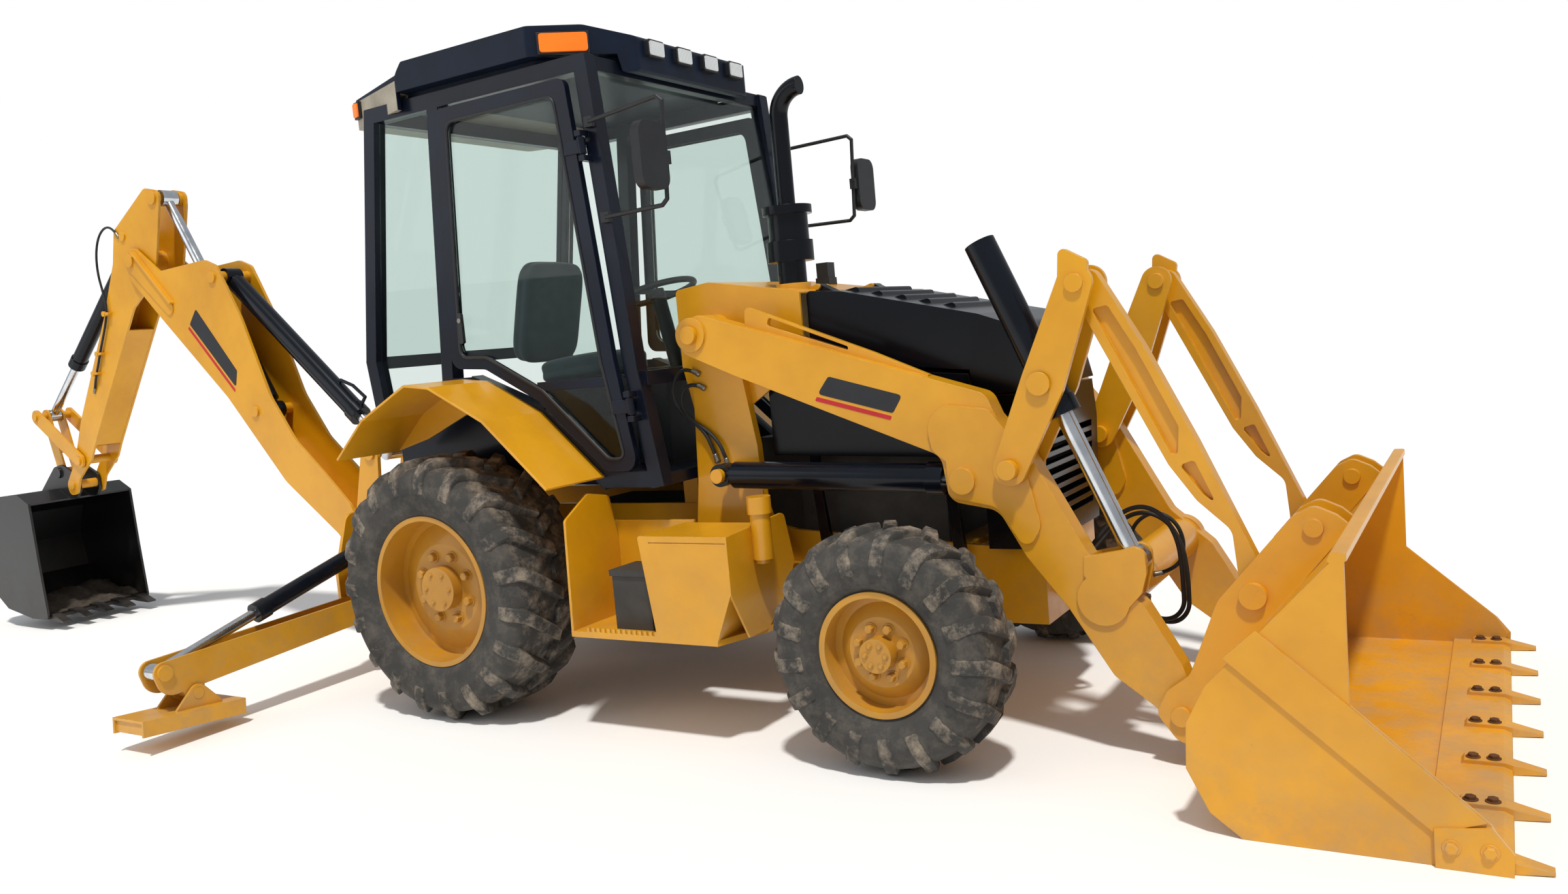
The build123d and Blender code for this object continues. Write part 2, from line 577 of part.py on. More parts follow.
cab = fuse(both(fuse(*posts)), crossbars, floor)
put("cab_frame", fuse(cab, both(fuse(*hinges))))
ROOF_RIM = 2862.0     # lower edge of the roof's sides
ROOF_X = 980.0        # its front face
VISOR_Z = 2785.0      # lower edge of the front face and of the rear corners


def roof_plan(z0, z1, inset=0.0):
    half = [(-640 + inset, -600 + inset, 40), (-150, -765 + inset, 60),
            (650 - inset * 0.4, -757 + inset, 40), (865 - inset * 0.8, -548 + inset * 0.6, 40),
            (ROOF_X - inset, -432 + inset * 0.4, 40)]
    return plate_z(half + [(x, -y, r) for x, y, r in reversed(half)], z0, z1)


roof_side = [(-640, VISOR_Z, 10), (-640, 2925, 30), (-160, 2938, 10), (-112, ROOF_Z, 20),
             (820, ROOF_Z, 60), (ROOF_X, 2935, 20), (ROOF_X, VISOR_Z, 12),
             (ROOF_X - 50, VISOR_Z, 8), (ROOF_X - 62, ROOF_RIM), (-455, ROOF_RIM),
             (-455, VISOR_Z)]
roof = plate(roof_side, -780, 780) & roof_plan(2700, 3100)
skirt = cut(roof_plan(VISOR_Z, ROOF_RIM + 10) & box(-600, -165, -780, 780, 2700, 3000),
            roof_plan(2700, 3000, 24), box(-455, 900, -CAB_Y - 1, CAB_Y + 1, 2700, CAB_TOP))
roof = fuse(roof, *skirt.solids(), roof_plan(CAB_TOP, ROOF_RIM + 5, 70))
put("roof", roof)
LAMP_Z = 2892.0
lamps = [plate_x([(y - 59, LAMP_Z - 38, 12), (y + 59, LAMP_Z - 38, 12), (y + 59, LAMP_Z + 38, 12),
                  (y - 59, LAMP_Z + 38, 12)], ROOF_X, ROOF_X + 22)
         for y in (-318, -106, 106, 318)]
CORNER = ((650.0, -757.0), (865.0, -548.0))       # the roof's front corner faces
corner_turn = degrees(atan2(CORNER[1][1] - CORNER[0][1], CORNER[1][0] - CORNER[0][0]))
corner_mid = [(a + b) / 2 for a, b in zip(*CORNER)]
beacon = Pos(*corner_mid, 2910) * (Rot(0, 0, corner_turn) * (
    Pos(0, -12, 0) * Box(220, 24, 92)))
tail_turn = degrees(atan2(-165, 490))
tail_lamp = Pos(-590, -617, 2870) * (Rot(0, 0, tail_turn) * (Pos(0, -8, 0) * Box(60, 16, 80)))
cowl_lamp = fuse(plate([(1370, 1850 - 130 * 78 / 444), (1440, 1850 - 200 * 78 / 444), (1440, 1850),
                        (1370, 1850)], 270, 350), box(1375, 1435, 275, 345, 1845, 1920))

MIRROR = (1345.0, -800.0, 2330.0)     # the bracket's upright, and the head's middle height


def tube_path(points, r):
    """Bent tube: straight runs with round elbows."""
    runs = [rod(a, b, r) for a, b in zip(points, points[1:])]
    return fuse(runs, [Pos(*p) * Sphere(r) for p in points[1:-1]])


mx, my, mz = MIRROR
bracket = tube_path([(925, -738, 2548), (mx - 20, my, 2572), (mx + 4, my, 2550),
                     (mx - 14, my, 2172), (mx - 40, my, 2150), (965, -738, 2150)], 9)
feet = [box(x - 22, x + 22, -742, -CAB_Y, z - 22, z + 22) for x, z in ((922, 2548), (960, 2150))]
head = plate_x([(my - 190, mz - 130, 50), (my - 14, mz - 130, 50), (my - 14, mz + 130, 50),
                (my - 190, mz + 130, 50)], mx - 22, mx + 20)
clamp = box(mx - 18, mx + 12, my - 30, my + 16, mz - 26, mz + 26)
mirror = fuse(bracket, feet, head, clamp)
put("lamps_mirrors", lamps, both(beacon), both(tail_lamp), cowl_lamp, both(mirror))
GLASS_T = 7.0
# panes end at the posts and bars that hold them
wind = cut(strip([(890, 2800), (1030, 1470)], GLASS_T, -CAB_Y + post, CAB_Y - post), cab)
quarter = cut(plate([(-405, 2820), (0, 2820), (-100, 1510), (-590, 1400), (-600, 1640)],
                    CAB_Y - 40, CAB_Y - 40 + GLASS_T), cab)
rear_glass = cut(strip([(-412, 2800), (-610, 1640)], GLASS_T, -CAB_Y + post, CAB_Y - post),
                 cab)
put("cab_glass", wind, both(quarter), rear_glass)

door_out = [(60, 2745, 40), (825, 2745, 40), (940, 1560, 60), (1015, 1085, 60),
            (845, 1085, 40), (500, 1405, 60), (200, 1565, 60), (-10, 1580, 60)]
door_in = [(122, 2680, 60), (758, 2680, 60), (872, 1555, 60), (950, 1140, 40),
           (865, 1140, 30), (530, 1450, 60), (215, 1617, 60), (52, 1628, 60)]
door = cut(plate(door_out, CAB_Y + 6, CAB_Y + 36), plate(door_in, CAB_Y, CAB_Y + 50))
door = fuse(door, plate([(500, 1448), (500, 1488), (900, 1488), (900, 1448)], CAB_Y + 8,
                        CAB_Y + 34), leaves)
door = cut(door, rod(along(low3, top3, -50), along(low3, top3, 2000), HINGE_R + RUN))
pane = cut(plate(door_out, CAB_Y + 16, CAB_Y + 22), door)
put("door_l", door)
put("door_glass_l", pane)
put("door_r", door.mirror(Plane.XZ))
put("door_glass_r", pane.mirror(Plane.XZ))

# ------------------------------------------------------------- fenders, boxes
fender_path = [(-470, 1215), (-270, 1390), (30, 1530), (180, 1512), (480, 1355), (800, 1062)]
fender = strip(fender_path, 10, CAB_Y, 1090, -1)
fender_wall = plate([(-468, 1209), (-268, 1382), (32, 1522), (178, 1504), (474, 1350),
                     (790, 1060), (700, 1040), (440, 1240), (60, 1380), (-250, 1260)], CAB_Y,
                    CAB_Y + 10)
put("fenders", both(fuse(fender, fender_wall)))

STEP_Y = 1005.0
BOX_FRONT = 1598.0
step = plate_z([(775, 640), (775, STEP_Y), (1514, STEP_Y), (BOX_FRONT, 762), (BOX_FRONT, 640)],
               STEP_Z - 24, STEP_Z)
comb = []             # the tread's teeth
for i in range(24):
    comb += [(860 + 27 * i, STEP_Z - 10), (860 + 27 * i, STEP_Z + 18), (873 + 27 * i, STEP_Z + 18),
             (873 + 27 * i, STEP_Z + 2)]
tread = plate(comb + [(1508, STEP_Z - 10), (1508, STEP_Z - 22), (860, STEP_Z - 22)], STEP_Y - 8,
              STEP_Y)
tool_box = plate([(1170, 856, 12), (BOX_FRONT, 856, 12), (BOX_FRONT - 3, 631), (1514, STEP_Z - 10),
                  (1225, STEP_Z - 10)], 690, STEP_Y)
lid_seam = box(1225, 1590, STEP_Y - 4, STEP_Y + 5, 828, 832)
front_plate = plate_x([(STEP_Y, 631), (STEP_Y, 856), (575, 880, 30), (520, 666, 40),
                       (600, 560, 30), (762, STEP_Z - 10), (900, STEP_Z - 10)], BOX_FRONT - 10,
                      BOX_FRONT)
rear_plate = plate_x([(STEP_Y, 430), (985, 912, 20), (828, 1003, 20), (690, 975, 30), (640, 700),
                      (640, 430)], 775, 787)
hanger = box(900, 1050, FRAME_IN + FRAME_T, 700, 520, 620)
inner_wall = box(775, 1200, 640, 652, STEP_Z - 10, 860)
neck = fuse(rod((1634, 810, 735), (1634, 810, 920), 40), rod((1634, 810, 915), (1634, 810, 982), 48),
            rod((1634, 810, 720), (1634, 810, 740), 30))
put("side_boxes", both(cut(fuse(step, tread, tool_box, front_plate, rear_plate, hanger,
                                inner_wall, neck), lid_seam)))

# ------------------------------------------------------------- inside the cab
seat = fuse(box(-20, 420, -230, 230, 1470, 1590),
            plate([(-60, 1560), (-190, 2080, 40), (-90, 2100, 40), (60, 1590)], -220, 220))
put("seat", seat)
seat_base = box(0, 380, -180, 180, FLOOR_Z + 30, 1470)
column = fuse(box(560, 760, -160, 160, FLOOR_Z + 30, 1500),
              rod((720, 0, 1480), (640, 0, 1840), 36))
wheel_ring = Plane(origin=(630, 0, 1860), z_dir=(-0.25, 0, 1)) * Torus(190, 15)
spokes = beam((630, -188, 1860), (630, 188, 1860), 30, 14, up=(1, 0, 0))
put("controls", seat_base, fuse(column, wheel_ring, spokes,
                                rod((640, 0, 1830), (628, 0, 1868), 40)))

# ------------------------------------------------------------- loader arms
arm_pts = [(1190, 1560, 60), (1180, 1680, 60), (1290, 1712, 60), (1514, 1640, 200),
           (2033, 1475, 400), (2520, 1319, 60), (2560, 1222, 60), (2670, 1090, 80),
           (2812, 823, 60), (2879, 700, 60), (3042, 556, 60), (3160, 350, 60), (3218, 170, 60),
           (3150, 105, 60), (3060, 200, 60), (2925, 300, 60), (2775, 540, 60),
           (2634, 720, 60), (2540, 890, 80), (2350, 925, 60), (2330, 1095, 60),
           (1441, 1451, 200)]
arm = plate(arm_pts, ARM_Y - ARM_T / 2, ARM_Y + ARM_T / 2)
flange = cut(plate([(1494, 1640), (1500, 1728, 20), (2065, 1500, 60), (2290, 1400),
                    (2280, 1380)], ARM_Y - 12, ARM_Y + 12),
             plate([(1600, 1640, 10), (1610, 1672, 10), (1960, 1530, 10), (1960, 1515, 10)],
                   ARM_Y - 50, ARM_Y + 50))
cap = pin_y(TORQUE, ARM_Y - 5, ARM_Y + ARM_T / 2 + 10, TUBE_R + 8)
boss = pin_y(ARM_PIVOT, ARM_Y - 10, ARM_Y + ARM_T / 2 + 10, 72)
DOUBLER_T = 12.0
doubler_pts = [(2345, 1290, 70), (2284, 1210, 60), (2300, 1115, 50), (2352, 1075), (2352, 940, 30),
               (2538, 905, 70), (2640, 740, 60), (2700, 830, 60), (2640, 1120, 80), (2530, 1262, 30)]
doublers = [plate(doubler_pts, ARM_Y + s * (ARM_T / 2 - 0.5), ARM_Y + s * (ARM_T / 2 + DOUBLER_T))
            for s in (-1, 1)]
half_arm = fuse(arm, flange, cap, boss, doublers,
                pin_y(LEVER_PIN, ARM_Y - 128, ARM_Y + 128, 36))
tube = pin_y(TORQUE, -ARM_Y, ARM_Y, TUBE_R)
tilt_ears = [plate([(2845, 725), (2930, 742, 10), (2975, 750, 20), (3020, 765, 40),
                    (3058, 748, 40), (3060, 670, 40), (3040, 600, 30), (2990, 545), (2890, 590),
                    (2840, 660)], -ARM_Y + s * 34, -ARM_Y + s * (ARM_T / 2 + 10))
             for s in (-1, 1)]
arms = fuse(both(half_arm), tube, tilt_ears)
# Inside the arm box: the lift rod's eye and rod, which travel and turn in it.
eye_way = [(2413, 1002, LIFT_EYE_R), (2373, 937, LIFT_EYE_R), (2471, 1055, LIFT_EYE_R)]
rod_way = [(2100, 1172), (2300, 1138), (2470, 1096), (2400, 890), (2100, 900)]
tilt_way = [(2900, 765, 37), (2926, 667, 57), (2964, 629, 57), (3038, 712, 57), (3034, 727, 57)]
arms = cut(arms, [pin_y(ARM_PIVOT, s * 400, s * 800, ARM_PIN_R + RUN) for s in (-1, 1)],
           [pin_y(BUCKET_PIN, s * 400, s * 800, 34 + RUN) for s in (-1, 1)],
           [bar([(x, z, r + 8) for x, z, r in eye_way], s * (ARM_Y - 42), s * (ARM_Y + 42))
            for s in (-1, 1)],
           [plate(rod_way, s * (ARM_Y - 38), s * (ARM_Y + 38)) for s in (-1, 1)],
           bar(tilt_way, -ARM_Y - 34, -ARM_Y + 34))
lift_heads = [pin_y(LIFT_EYE, s * (ARM_Y + k * (ARM_T / 2 + DOUBLER_T - 2)),
                    s * (ARM_Y + k * (ARM_T / 2 + DOUBLER_T + 14)), r)
              for s in (-1, 1) for k in (-1, 1) for r in (50,)]
arms = fuse(arms, lift_heads)
put("arms", arms)

# ------------------------------------------------------------- tilt levers, links
lever_c = [(LEVER_PIN[0], LEVER_PIN[1], 62), (TRUNNION[0] + 10, TRUNNION[1], 78),
           (LINK_TOP[0], LINK_TOP[1], 62)]
levers = []
for s in (-1, 1):
    for k in (-1, 1):
        a = s * (ARM_Y + k * LEVER_GAP)
        b = s * (ARM_Y + k * (LEVER_GAP + LEVER_T))
        p = bar(lever_c, a, b)
        if k > 0:     # level indicator on the outer plate
            p = fuse(p, bar([(LINK_TOP[0] - 8, LINK_TOP[1], 50), (LINK_TOP[0] - 30, LINK_TOP[1] + 98, 20),
                             (LINK_TOP[0] + 30, LINK_TOP[1] + 62, 20)], a, b))
        p = cut(p, pin_y(LEVER_PIN, a - 60, a + 60, 36 + RUN))
        if s < 0:
            p = cut(p, pin_y(TRUNNION, a - 60, a + 60, 35 + RUN))
        levers.append(p)
    levers.append(pin_y(LINK_TOP, s * ARM_Y - LEVER_GAP - LEVER_T - 12,
                        s * ARM_Y + LEVER_GAP + LEVER_T + 12, 32))
left_spacer = pin_y(TRUNNION, ARM_Y - LEVER_GAP - 5, ARM_Y + LEVER_GAP + 5, 40)
put("tilt_levers", fuse(levers[:3]), fuse(levers[3:], left_spacer))

# Cast links: a web between two edge flanges, with a cross rib.
top_x, top_z = LINK_TOP
low_x, low_z = LINK_LOW
link_pts = [(top_x - 38, top_z - 41, 40), (top_x - 38, top_z + 39, 50),
            (top_x + 47, top_z + 49, 50), (3090, 1450, 100), (3245, 1120, 100),
            (low_x + 46, low_z + 27, 50), (low_x + 24, low_z - 49, 36),
            (low_x - 44, low_z - 49, 36), (3342, 819, 60), (3235, 920, 60), (3150, 1042, 60),
            (top_x - 8, top_z - 81, 60)]
link = plate(link_pts, ARM_Y - LINK_T / 2, ARM_Y + LINK_T / 2)
pockets = [[(2922, 1588, 12), (2978, 1596, 15), (3066, 1438, 100), (3190, 1170, 12),
            (3183, 1082, 12), (3163, 1074, 12)],
           [(3186, 1040, 12), (3234, 1056, 12), (3298, 905, 6), (3256, 940, 30)]]
link = cut(link, [plate(q, ARM_Y + s * 9, ARM_Y + s * 60) for q in pockets for s in (-1, 1)],
           pin_y(LINK_TOP, ARM_Y - 90, ARM_Y + 90, 32 + RUN))
link = fuse(link, pin_y(LINK_LOW, ARM_Y - 42, ARM_Y + 42, 34))
put("tilt_links", both(link))

full = hypot(TILT_EYE[0] - TRUNNION[0], TILT_EYE[1] - TRUNNION[1])
back = along(TRUNNION, TILT_EYE, -560)
gland = along(TRUNNION, TILT_EYE, 130)
b3, g3 = (back[0], -ARM_Y, back[1]), (gland[0], -ARM_Y, gland[1])
t_end = along(b3, g3, 12)
barrel = fuse(rod(b3, g3, TILT_R), rod(along(g3, b3, 60), g3, TILT_R + 7),
              pin_y(TRUNNION, -ARM_Y - LEVER_GAP - LEVER_T - 8,
                    -ARM_Y + LEVER_GAP + LEVER_T + 8, 35))
barrel = cut(barrel, rod(along(b3, g3, 25), along(b3, g3, 720), TILT_ROD_R + RUN))
e3 = (TILT_EYE[0], -ARM_Y, TILT_EYE[1])
tilt_rod = fuse(rod(along(e3, b3, 30), along(e3, b3, 727), TILT_ROD_R),
                pin_y(TILT_EYE, -ARM_Y - 31, -ARM_Y + 31, 50))
put("tilt_barrel", barrel)
put("tilt_rod", tilt_rod)

lift_full = hypot(LIFT_EYE[0] - LIFT_BASE[0], LIFT_EYE[1] - LIFT_BASE[1])
lb, lr = cylinder(LIFT_BASE, LIFT_EYE, ARM_Y, LIFT_ROD_R, LIFT_ROD_R, LIFT_R, 60, 1010,
                  1000, LIFT_EYE_R, 72, 30)
put("lift_barrels", both(lb))
put("lift_rods", both(lr))

# ------------------------------------------------------------- loader bucket
shell_path = [(3715, 850), (3365, 435), (3305, 330), (3290, 199), (3348, 76), (3430, 0),
              (3930, 0)]
shell = strip(shell_path, BUCKET_T, -BUCKET_HALF + BUCKET_T, BUCKET_HALF - BUCKET_T, 1)
edge = plate([(3900, 0), (4095, 0), (4110, 14), (4085, EDGE_T), (3900, EDGE_T)],
             -BUCKET_HALF, BUCKET_HALF)
cheek_pts = [(3715, 850), (3345, 455), (3285, 337), (3278, 199), (3340, 70), (3430, 0),
             (4080, 0), (4100, 60), (4059, 133), (3732, 430), (3735, 838)]
cheek = plate(cheek_pts, BUCKET_HALF - BUCKET_T, BUCKET_HALF)
side_cut = plate([(3925, 0), (4108, 0), (4112, 60), (4062, 128), (3925, 110)], BUCKET_HALF,
                 BUCKET_HALF + 14)
band = plate([(3495, 632), (3732, 428), (4051, 138), (3925, 95), (3400, 545)],
             BUCKET_HALF - 1, BUCKET_HALF + 8)
ear_pts = [(3070, 190, 40), (3110, 270, 40), (3189, 330, 60), (3292, 590, 60),
           (3540, 880, 50), (3600, 910, 40), (3665, 880, 30), (3705, 844), (3368, 431),
           (3309, 330), (3294, 199), (3350, 79), (3330, 66), (3140, 95, 60)]
ears = [plate(ear_pts, s * (ARM_Y + k * (ARM_T / 2 + EAR_GAP)),
              s * (ARM_Y + k * (ARM_T / 2 + EAR_GAP + EAR_T))) for s in (-1, 1) for k in (-1, 1)]
hinge_pins = [pin_y(BUCKET_PIN, s * (ARM_Y - 96), s * (ARM_Y + 96), 34) for s in (-1, 1)]
spare_pins = [pin_y(SPARE_PIN, s * (ARM_Y - 92), s * (ARM_Y + 92), 30) for s in (-1, 1)]
link_heads = [pin_y(LINK_LOW, s * (ARM_Y + k * (ARM_T / 2 + EAR_GAP + EAR_T - 2)),
                    s * (ARM_Y + k * (ARM_T / 2 + EAR_GAP + EAR_T + 18)), 44)
              for s in (-1, 1) for k in (-1, 1)]
lip = plate([(3690, 836), (3700, 862, 8), (3742, 862, 8), (3742, 838), (3712, 820)],
            -BUCKET_HALF, BUCKET_HALF)
tooth = []            # a flat shank on the edge and a wedge that narrows to the tip
for i in range(TEETH):
    y = -BUCKET_HALF + 40 + i * (2 * BUCKET_HALF - 80) / (TEETH - 1)
    wedge = plate([(3965, EDGE_T - 2), (3975, EDGE_T + 14, 6), (4090, EDGE_T + 14), (4120, EDGE_T + 6),
                   (TOOTH_TIP, 14), (TOOTH_TIP, 4), (4108, 1), (4090, 10)], y - 32, y + 32)
    tooth.append(cut(wedge, [plate_z([(4100, y + s * 34), (TOOTH_TIP + 5, y + s * 34),
                                      (TOOTH_TIP + 5, y + s * 16)], -10, 60) for s in (-1, 1)]))
put("loader_bucket", fuse(shell, edge, lip, both(cheek), both(side_cut), both(band), ears,
                          hinge_pins, spare_pins, link_heads, tooth))

# ------------------------------------------------------------- swing frame
swing_side = plate([(-1640, 540, 50), (-1600, 480, 30), (-1470, 375), (-1440, 375),
                    (-1440, 695), (-1492, 700), (-1492, 748), (-1345, 800), (-1310, 1130, 40),
                    (-1330, 1205, 40), (-1400, 1215, 40), (-1440, 1180), (-1560, 760),
                    (-1640, 620, 50)], SWING_IN, SWING_IN + SWING_T)
web = box(-1465, -1345, -SWING_IN - 10, SWING_IN + 10, 368, 697)
foot_pin = pin_y(BOOM_FOOT, -SWING_IN - SWING_T - 14, SWING_IN + SWING_T + 14, 36)
top_heads = both(pin_y(BOOM_TOP, SWING_IN - 30, SWING_IN + SWING_T + 14, 40))
shelf = box(-1452, -1345, -SWING_IN - 10, SWING_IN + 10, 800, 830)
swing = cut(fuse(both(swing_side), web, foot_pin, top_heads, shelf),
            rod((SWING_X, 0, 300), (SWING_X, 0, 780), 40 + RUN))
put("swing_frame", swing)

# ------------------------------------------------------------- boom
boom_pts = [(-3201, 2372, 60), (-2720, 2390, 60), (-2610, 2345, 60), (-2427, 2001, 300),
            (-2241, 1512, 300), (-2055, 1240, 200), (-1830, 1040, 100), (-1630, 850, 80),
            (-1498, 590, 60), (-1540, 490, 50), (-1630, 525, 50), (-1767, 680, 80),
            (-2188, 995, 200), (-2656, 1533, 200), (-3266, 2096, 80), (-3520, 2340, 60),
            (-3580, 2470, 70), (-3530, 2552, 60), (-3440, 2545, 60)]
boom_side = plate(boom_pts, BOOM_IN, BOOM_IN + BOOM_T)
belly = strip([(-1767, 690), (-2188, 1005), (-2650, 1537), (-3180, 2025)], 14, -BOOM_IN - 5,
              BOOM_IN + 5, 1)
boom_tube = pin_y(BOOM_FOOT, -BOOM_IN - 5, BOOM_IN + 5, 60)
mid_pin = pin_y(BOOM_MID, -BOOM_IN - BOOM_T - 12, BOOM_IN + BOOM_T + 12, 34)
head_pin = pin_y(BOOM_HEAD, -BOOM_IN - BOOM_T - 12, BOOM_IN + BOOM_T + 12, 36)
stick_pin = pin_y(STICK_PIN, -BOOM_IN - BOOM_T - 12, BOOM_IN + BOOM_T + 12, 38)
rib = fuse(bar([(-3500, 2471, 62), (-3140, 2130, 42)], BOOM_IN + BOOM_T - 1, BOOM_IN + BOOM_T + 8),
           plate([(-3456, 2514), (-3448, 2528), (-3090, 2162), (-3104, 2150)], BOOM_IN + BOOM_T - 1,
                 BOOM_IN + BOOM_T + 26))
boom = fuse(both(boom_side), both(rib), belly, boom_tube, mid_pin, head_pin, stick_pin,
            both(pin_y(STICK_PIN, BOOM_IN + 2, BOOM_IN + BOOM_T + 20, 44)))
boom = cut(boom, pin_y(BOOM_FOOT, -200, 200, 36 + RUN))
put("boom", boom)

# ------------------------------------------------------------- stick
stick_pts = [(-3150, 2880, 60), (-3300, 2915, 60), (-3700, 2690, 50), (-3760, 2480, 80),
             (-3950, 2140, 200), (-4420, 1450, 100), (-4560, 1180, 60), (-4710, 1010, 50),
             (-4690, 925, 50), (-4590, 935, 40), (-4540, 1040, 40), (-4350, 1180, 50),
             (-4290, 1270, 60), (-3590, 2170, 100), (-3300, 2340, 80), (-3160, 2790, 60)]
stick_side = plate(stick_pts, STICK_IN, STICK_IN + STICK_T)
spine = strip([(-3790, 2300), (-3905, 2090), (-4385, 1400), (-4470, 1270)], 12, -STICK_IN - 5,
              STICK_IN + 5, 1)
chest = strip([(-3700, 2032), (-4290, 1275)], 12, -STICK_IN - 5, STICK_IN + 5, -1)
dig_base_pin = pin_y(DIG_BASE, -STICK_IN - STICK_T - 10, STICK_IN + STICK_T + 10, 30)
guide_pin = pin_y(GUIDE_PIN, -GUIDE_IN - GUIDE_T - 12, GUIDE_IN + GUIDE_T + 12, 30)
dig_pin = pin_y(DIG_PIN, -STICK_IN - STICK_T - 12, STICK_IN + STICK_T + 12, 32)
top_h = both(pin_y(STICK_TOP, STICK_IN - 20, STICK_IN + STICK_T + 12, 44))
brow = box(-3290, -3200, -STICK_IN - 5, STICK_IN + 5, 2870, 2884)
hose_clips = [fuse(box(x - 34, x + 34, STICK_IN + STICK_T - 2, STICK_IN + STICK_T + 30, z - 8, z + 8),
                   pin_y((x - 22, z), STICK_IN + STICK_T - 2, STICK_IN + STICK_T + 34, 18))
              for x, z in ((-3880, 2160), (-4030, 1900), (-4110, 1770))]
stick = fuse(both(stick_side), both(fuse(hose_clips[0])), both(fuse(hose_clips[1])),
             both(fuse(hose_clips[2])), spine, chest, dig_base_pin, guide_pin, dig_pin, top_h,
             pin_y(STICK_PIN, -STICK_IN - 5, STICK_IN + 5, 70))
stick = cut(stick, pin_y(STICK_PIN, -200, 200, 38 + RUN))
put("stick", stick)

# ------------------------------------------------------------- digging bucket
dig_path = [(-4740, 905), (-4880, 975), (-5150, 960), (-5420, 800), (DIG_BACK, 560),
            (-5450, 310), (-5220, 140), (-4900, 80), (-4700, 80)]
dig_shell = strip(dig_path, DIG_T, -DIG_HALF, DIG_HALF, 1)
dig_cheek = plate(dig_path + [(-4690, 110), (-4720, 500, 300)], DIG_HALF - 5, DIG_HALF + 11)
dig_ears = [plate([(-4595, 960, 30), (-4600, 1060, 40), (-4800, 1150, 50), (-4900, 1130, 40),
                   (-5120, 955), (-4880, 970), (-4742, 900), (-4650, 900, 30)],
                  s * DIG_EAR_IN, s * (DIG_EAR_IN + DIG_EAR_T)) for s in (-1, 1)]
dig_ears = [cut(e, pin_y(DIG_PIN, -200, 200, 32 + RUN)) for e in dig_ears]
dig_heads = [pin_y(POWER_PIN, s * (DIG_EAR_IN + 4), s * (DIG_EAR_IN + DIG_EAR_T + 14), 38)
             for s in (-1, 1)]
dig_teeth = []
for i in range(5):
    y = -DIG_HALF + 50 + i * (2 * DIG_HALF - 100) / 4
    dig_teeth.append(plate([(-4780, 70), (-4780, 112), (-4690, 112), (-4560, 66), (-4560, 56),
                            (-4690, 62)], y - 30, y + 30))
put("dig_bucket", fuse(dig_shell, both(dig_cheek), dig_ears, dig_heads, dig_teeth))

guide = [bar([(GUIDE_PIN[0], GUIDE_PIN[1], 50), (ROD_PIN[0], ROD_PIN[1], 50)], s * GUIDE_IN,
             s * (GUIDE_IN + GUIDE_T)) for s in (-1, 1)]
guide = [cut(g, pin_y(GUIDE_PIN, -200, 200, 30 + RUN)) for g in guide]
guide_stub = [pin_y(ROD_PIN, s * POWER_IN, s * (GUIDE_IN + GUIDE_T + 12), 28)
              for s in (-1, 1)]
put("guide_links", fuse(guide[0], guide_stub[0]), fuse(guide[1], guide_stub[1]))
power = [bar([(ROD_PIN[0], ROD_PIN[1], 48), (POWER_PIN[0], POWER_PIN[1], 46)], s * POWER_IN,
             s * (POWER_IN + POWER_T)) for s in (-1, 1)]
power = [cut(p, pin_y(ROD_PIN, -200, 200, 28 + RUN)) for p in power]
power_tie = box(-4925, -4875, -POWER_IN - 5, POWER_IN + 5, 1230, 1300)
power_stub = pin_y(POWER_PIN, -POWER_IN - 2, POWER_IN + 2, 34)
put("power_link", fuse(power, power_tie, power_stub))

# ------------------------------------------------------------- backhoe cylinders
boom_len = hypot(BOOM_TOP[0] - BOOM_HEAD[0], BOOM_TOP[1] - BOOM_HEAD[1])
bb, br = cylinder(BOOM_HEAD, BOOM_TOP, 0, HOE_ROD_R, HOE_ROD_R, HOE_R, 70, 1400, 1290, 55,
                  100, 36)
head3, top3b = (BOOM_HEAD[0], 0, BOOM_HEAD[1]), (BOOM_TOP[0], 0, BOOM_TOP[1])
up = Vector(top3b[2] - head3[2], 0, head3[0] - top3b[0]).normalized() * -1
port = [Vector(*along(head3, top3b, d)) + up * h for d, h in (
    (1370, 40), (1370, 120), (1250, 112), (1150, 74), (1150, 40))]
bb = fuse(bb, tube_path([tuple(q) for q in port], 10))
put("boom_barrel", bb)
put("boom_rod", br)
sb, sr = cylinder(BOOM_MID, STICK_TOP, 0, HOE_ROD_R, HOE_ROD_R, HOE_R, 70, 1060, 1120, 52,
                  100, 34)
put("stick_barrel", sb)
put("stick_rod", sr)
db, dr = cylinder(DIG_BASE, ROD_PIN, 0, DIG_ROD_R, DIG_ROD_R, DIG_CYL_R, 60, 1241, 1120, 44,
                  72, 30)
put("dig_barrel", db)
put("dig_rod", dr)

# ------------------------------------------------------------- stabilizers
fy, fz = STAB_FOOT
ry, rz = STAB_ROD
py, pz = STAB_PAD
leg = [bar_x([(fy, fz, 62), (ry - 40, rz - 30, 80), (ry, rz, 50)], STAB_X + s * LEG_IN,
             STAB_X + s * (LEG_IN + LEG_T)) for s in (-1, 1)]
leg_pad = [bar_x([(py, pz, 44), (py + 20, pz + 90, 70)], STAB_X + s * LEG_IN,
                 STAB_X + s * (LEG_IN + LEG_T)) for s in (-1, 1)]
leg_floor = plate_x([(fy + 120, fz - 66), (ry - 60, rz - 108), (ry - 60, rz - 92),
                     (fy + 120, fz - 50)], STAB_X - LEG_IN - 5, STAB_X + LEG_IN + 5)
leg_tube = rod((STAB_X - LEG_IN - 5, fy, fz), (STAB_X + LEG_IN + 5, fy, fz), 50)
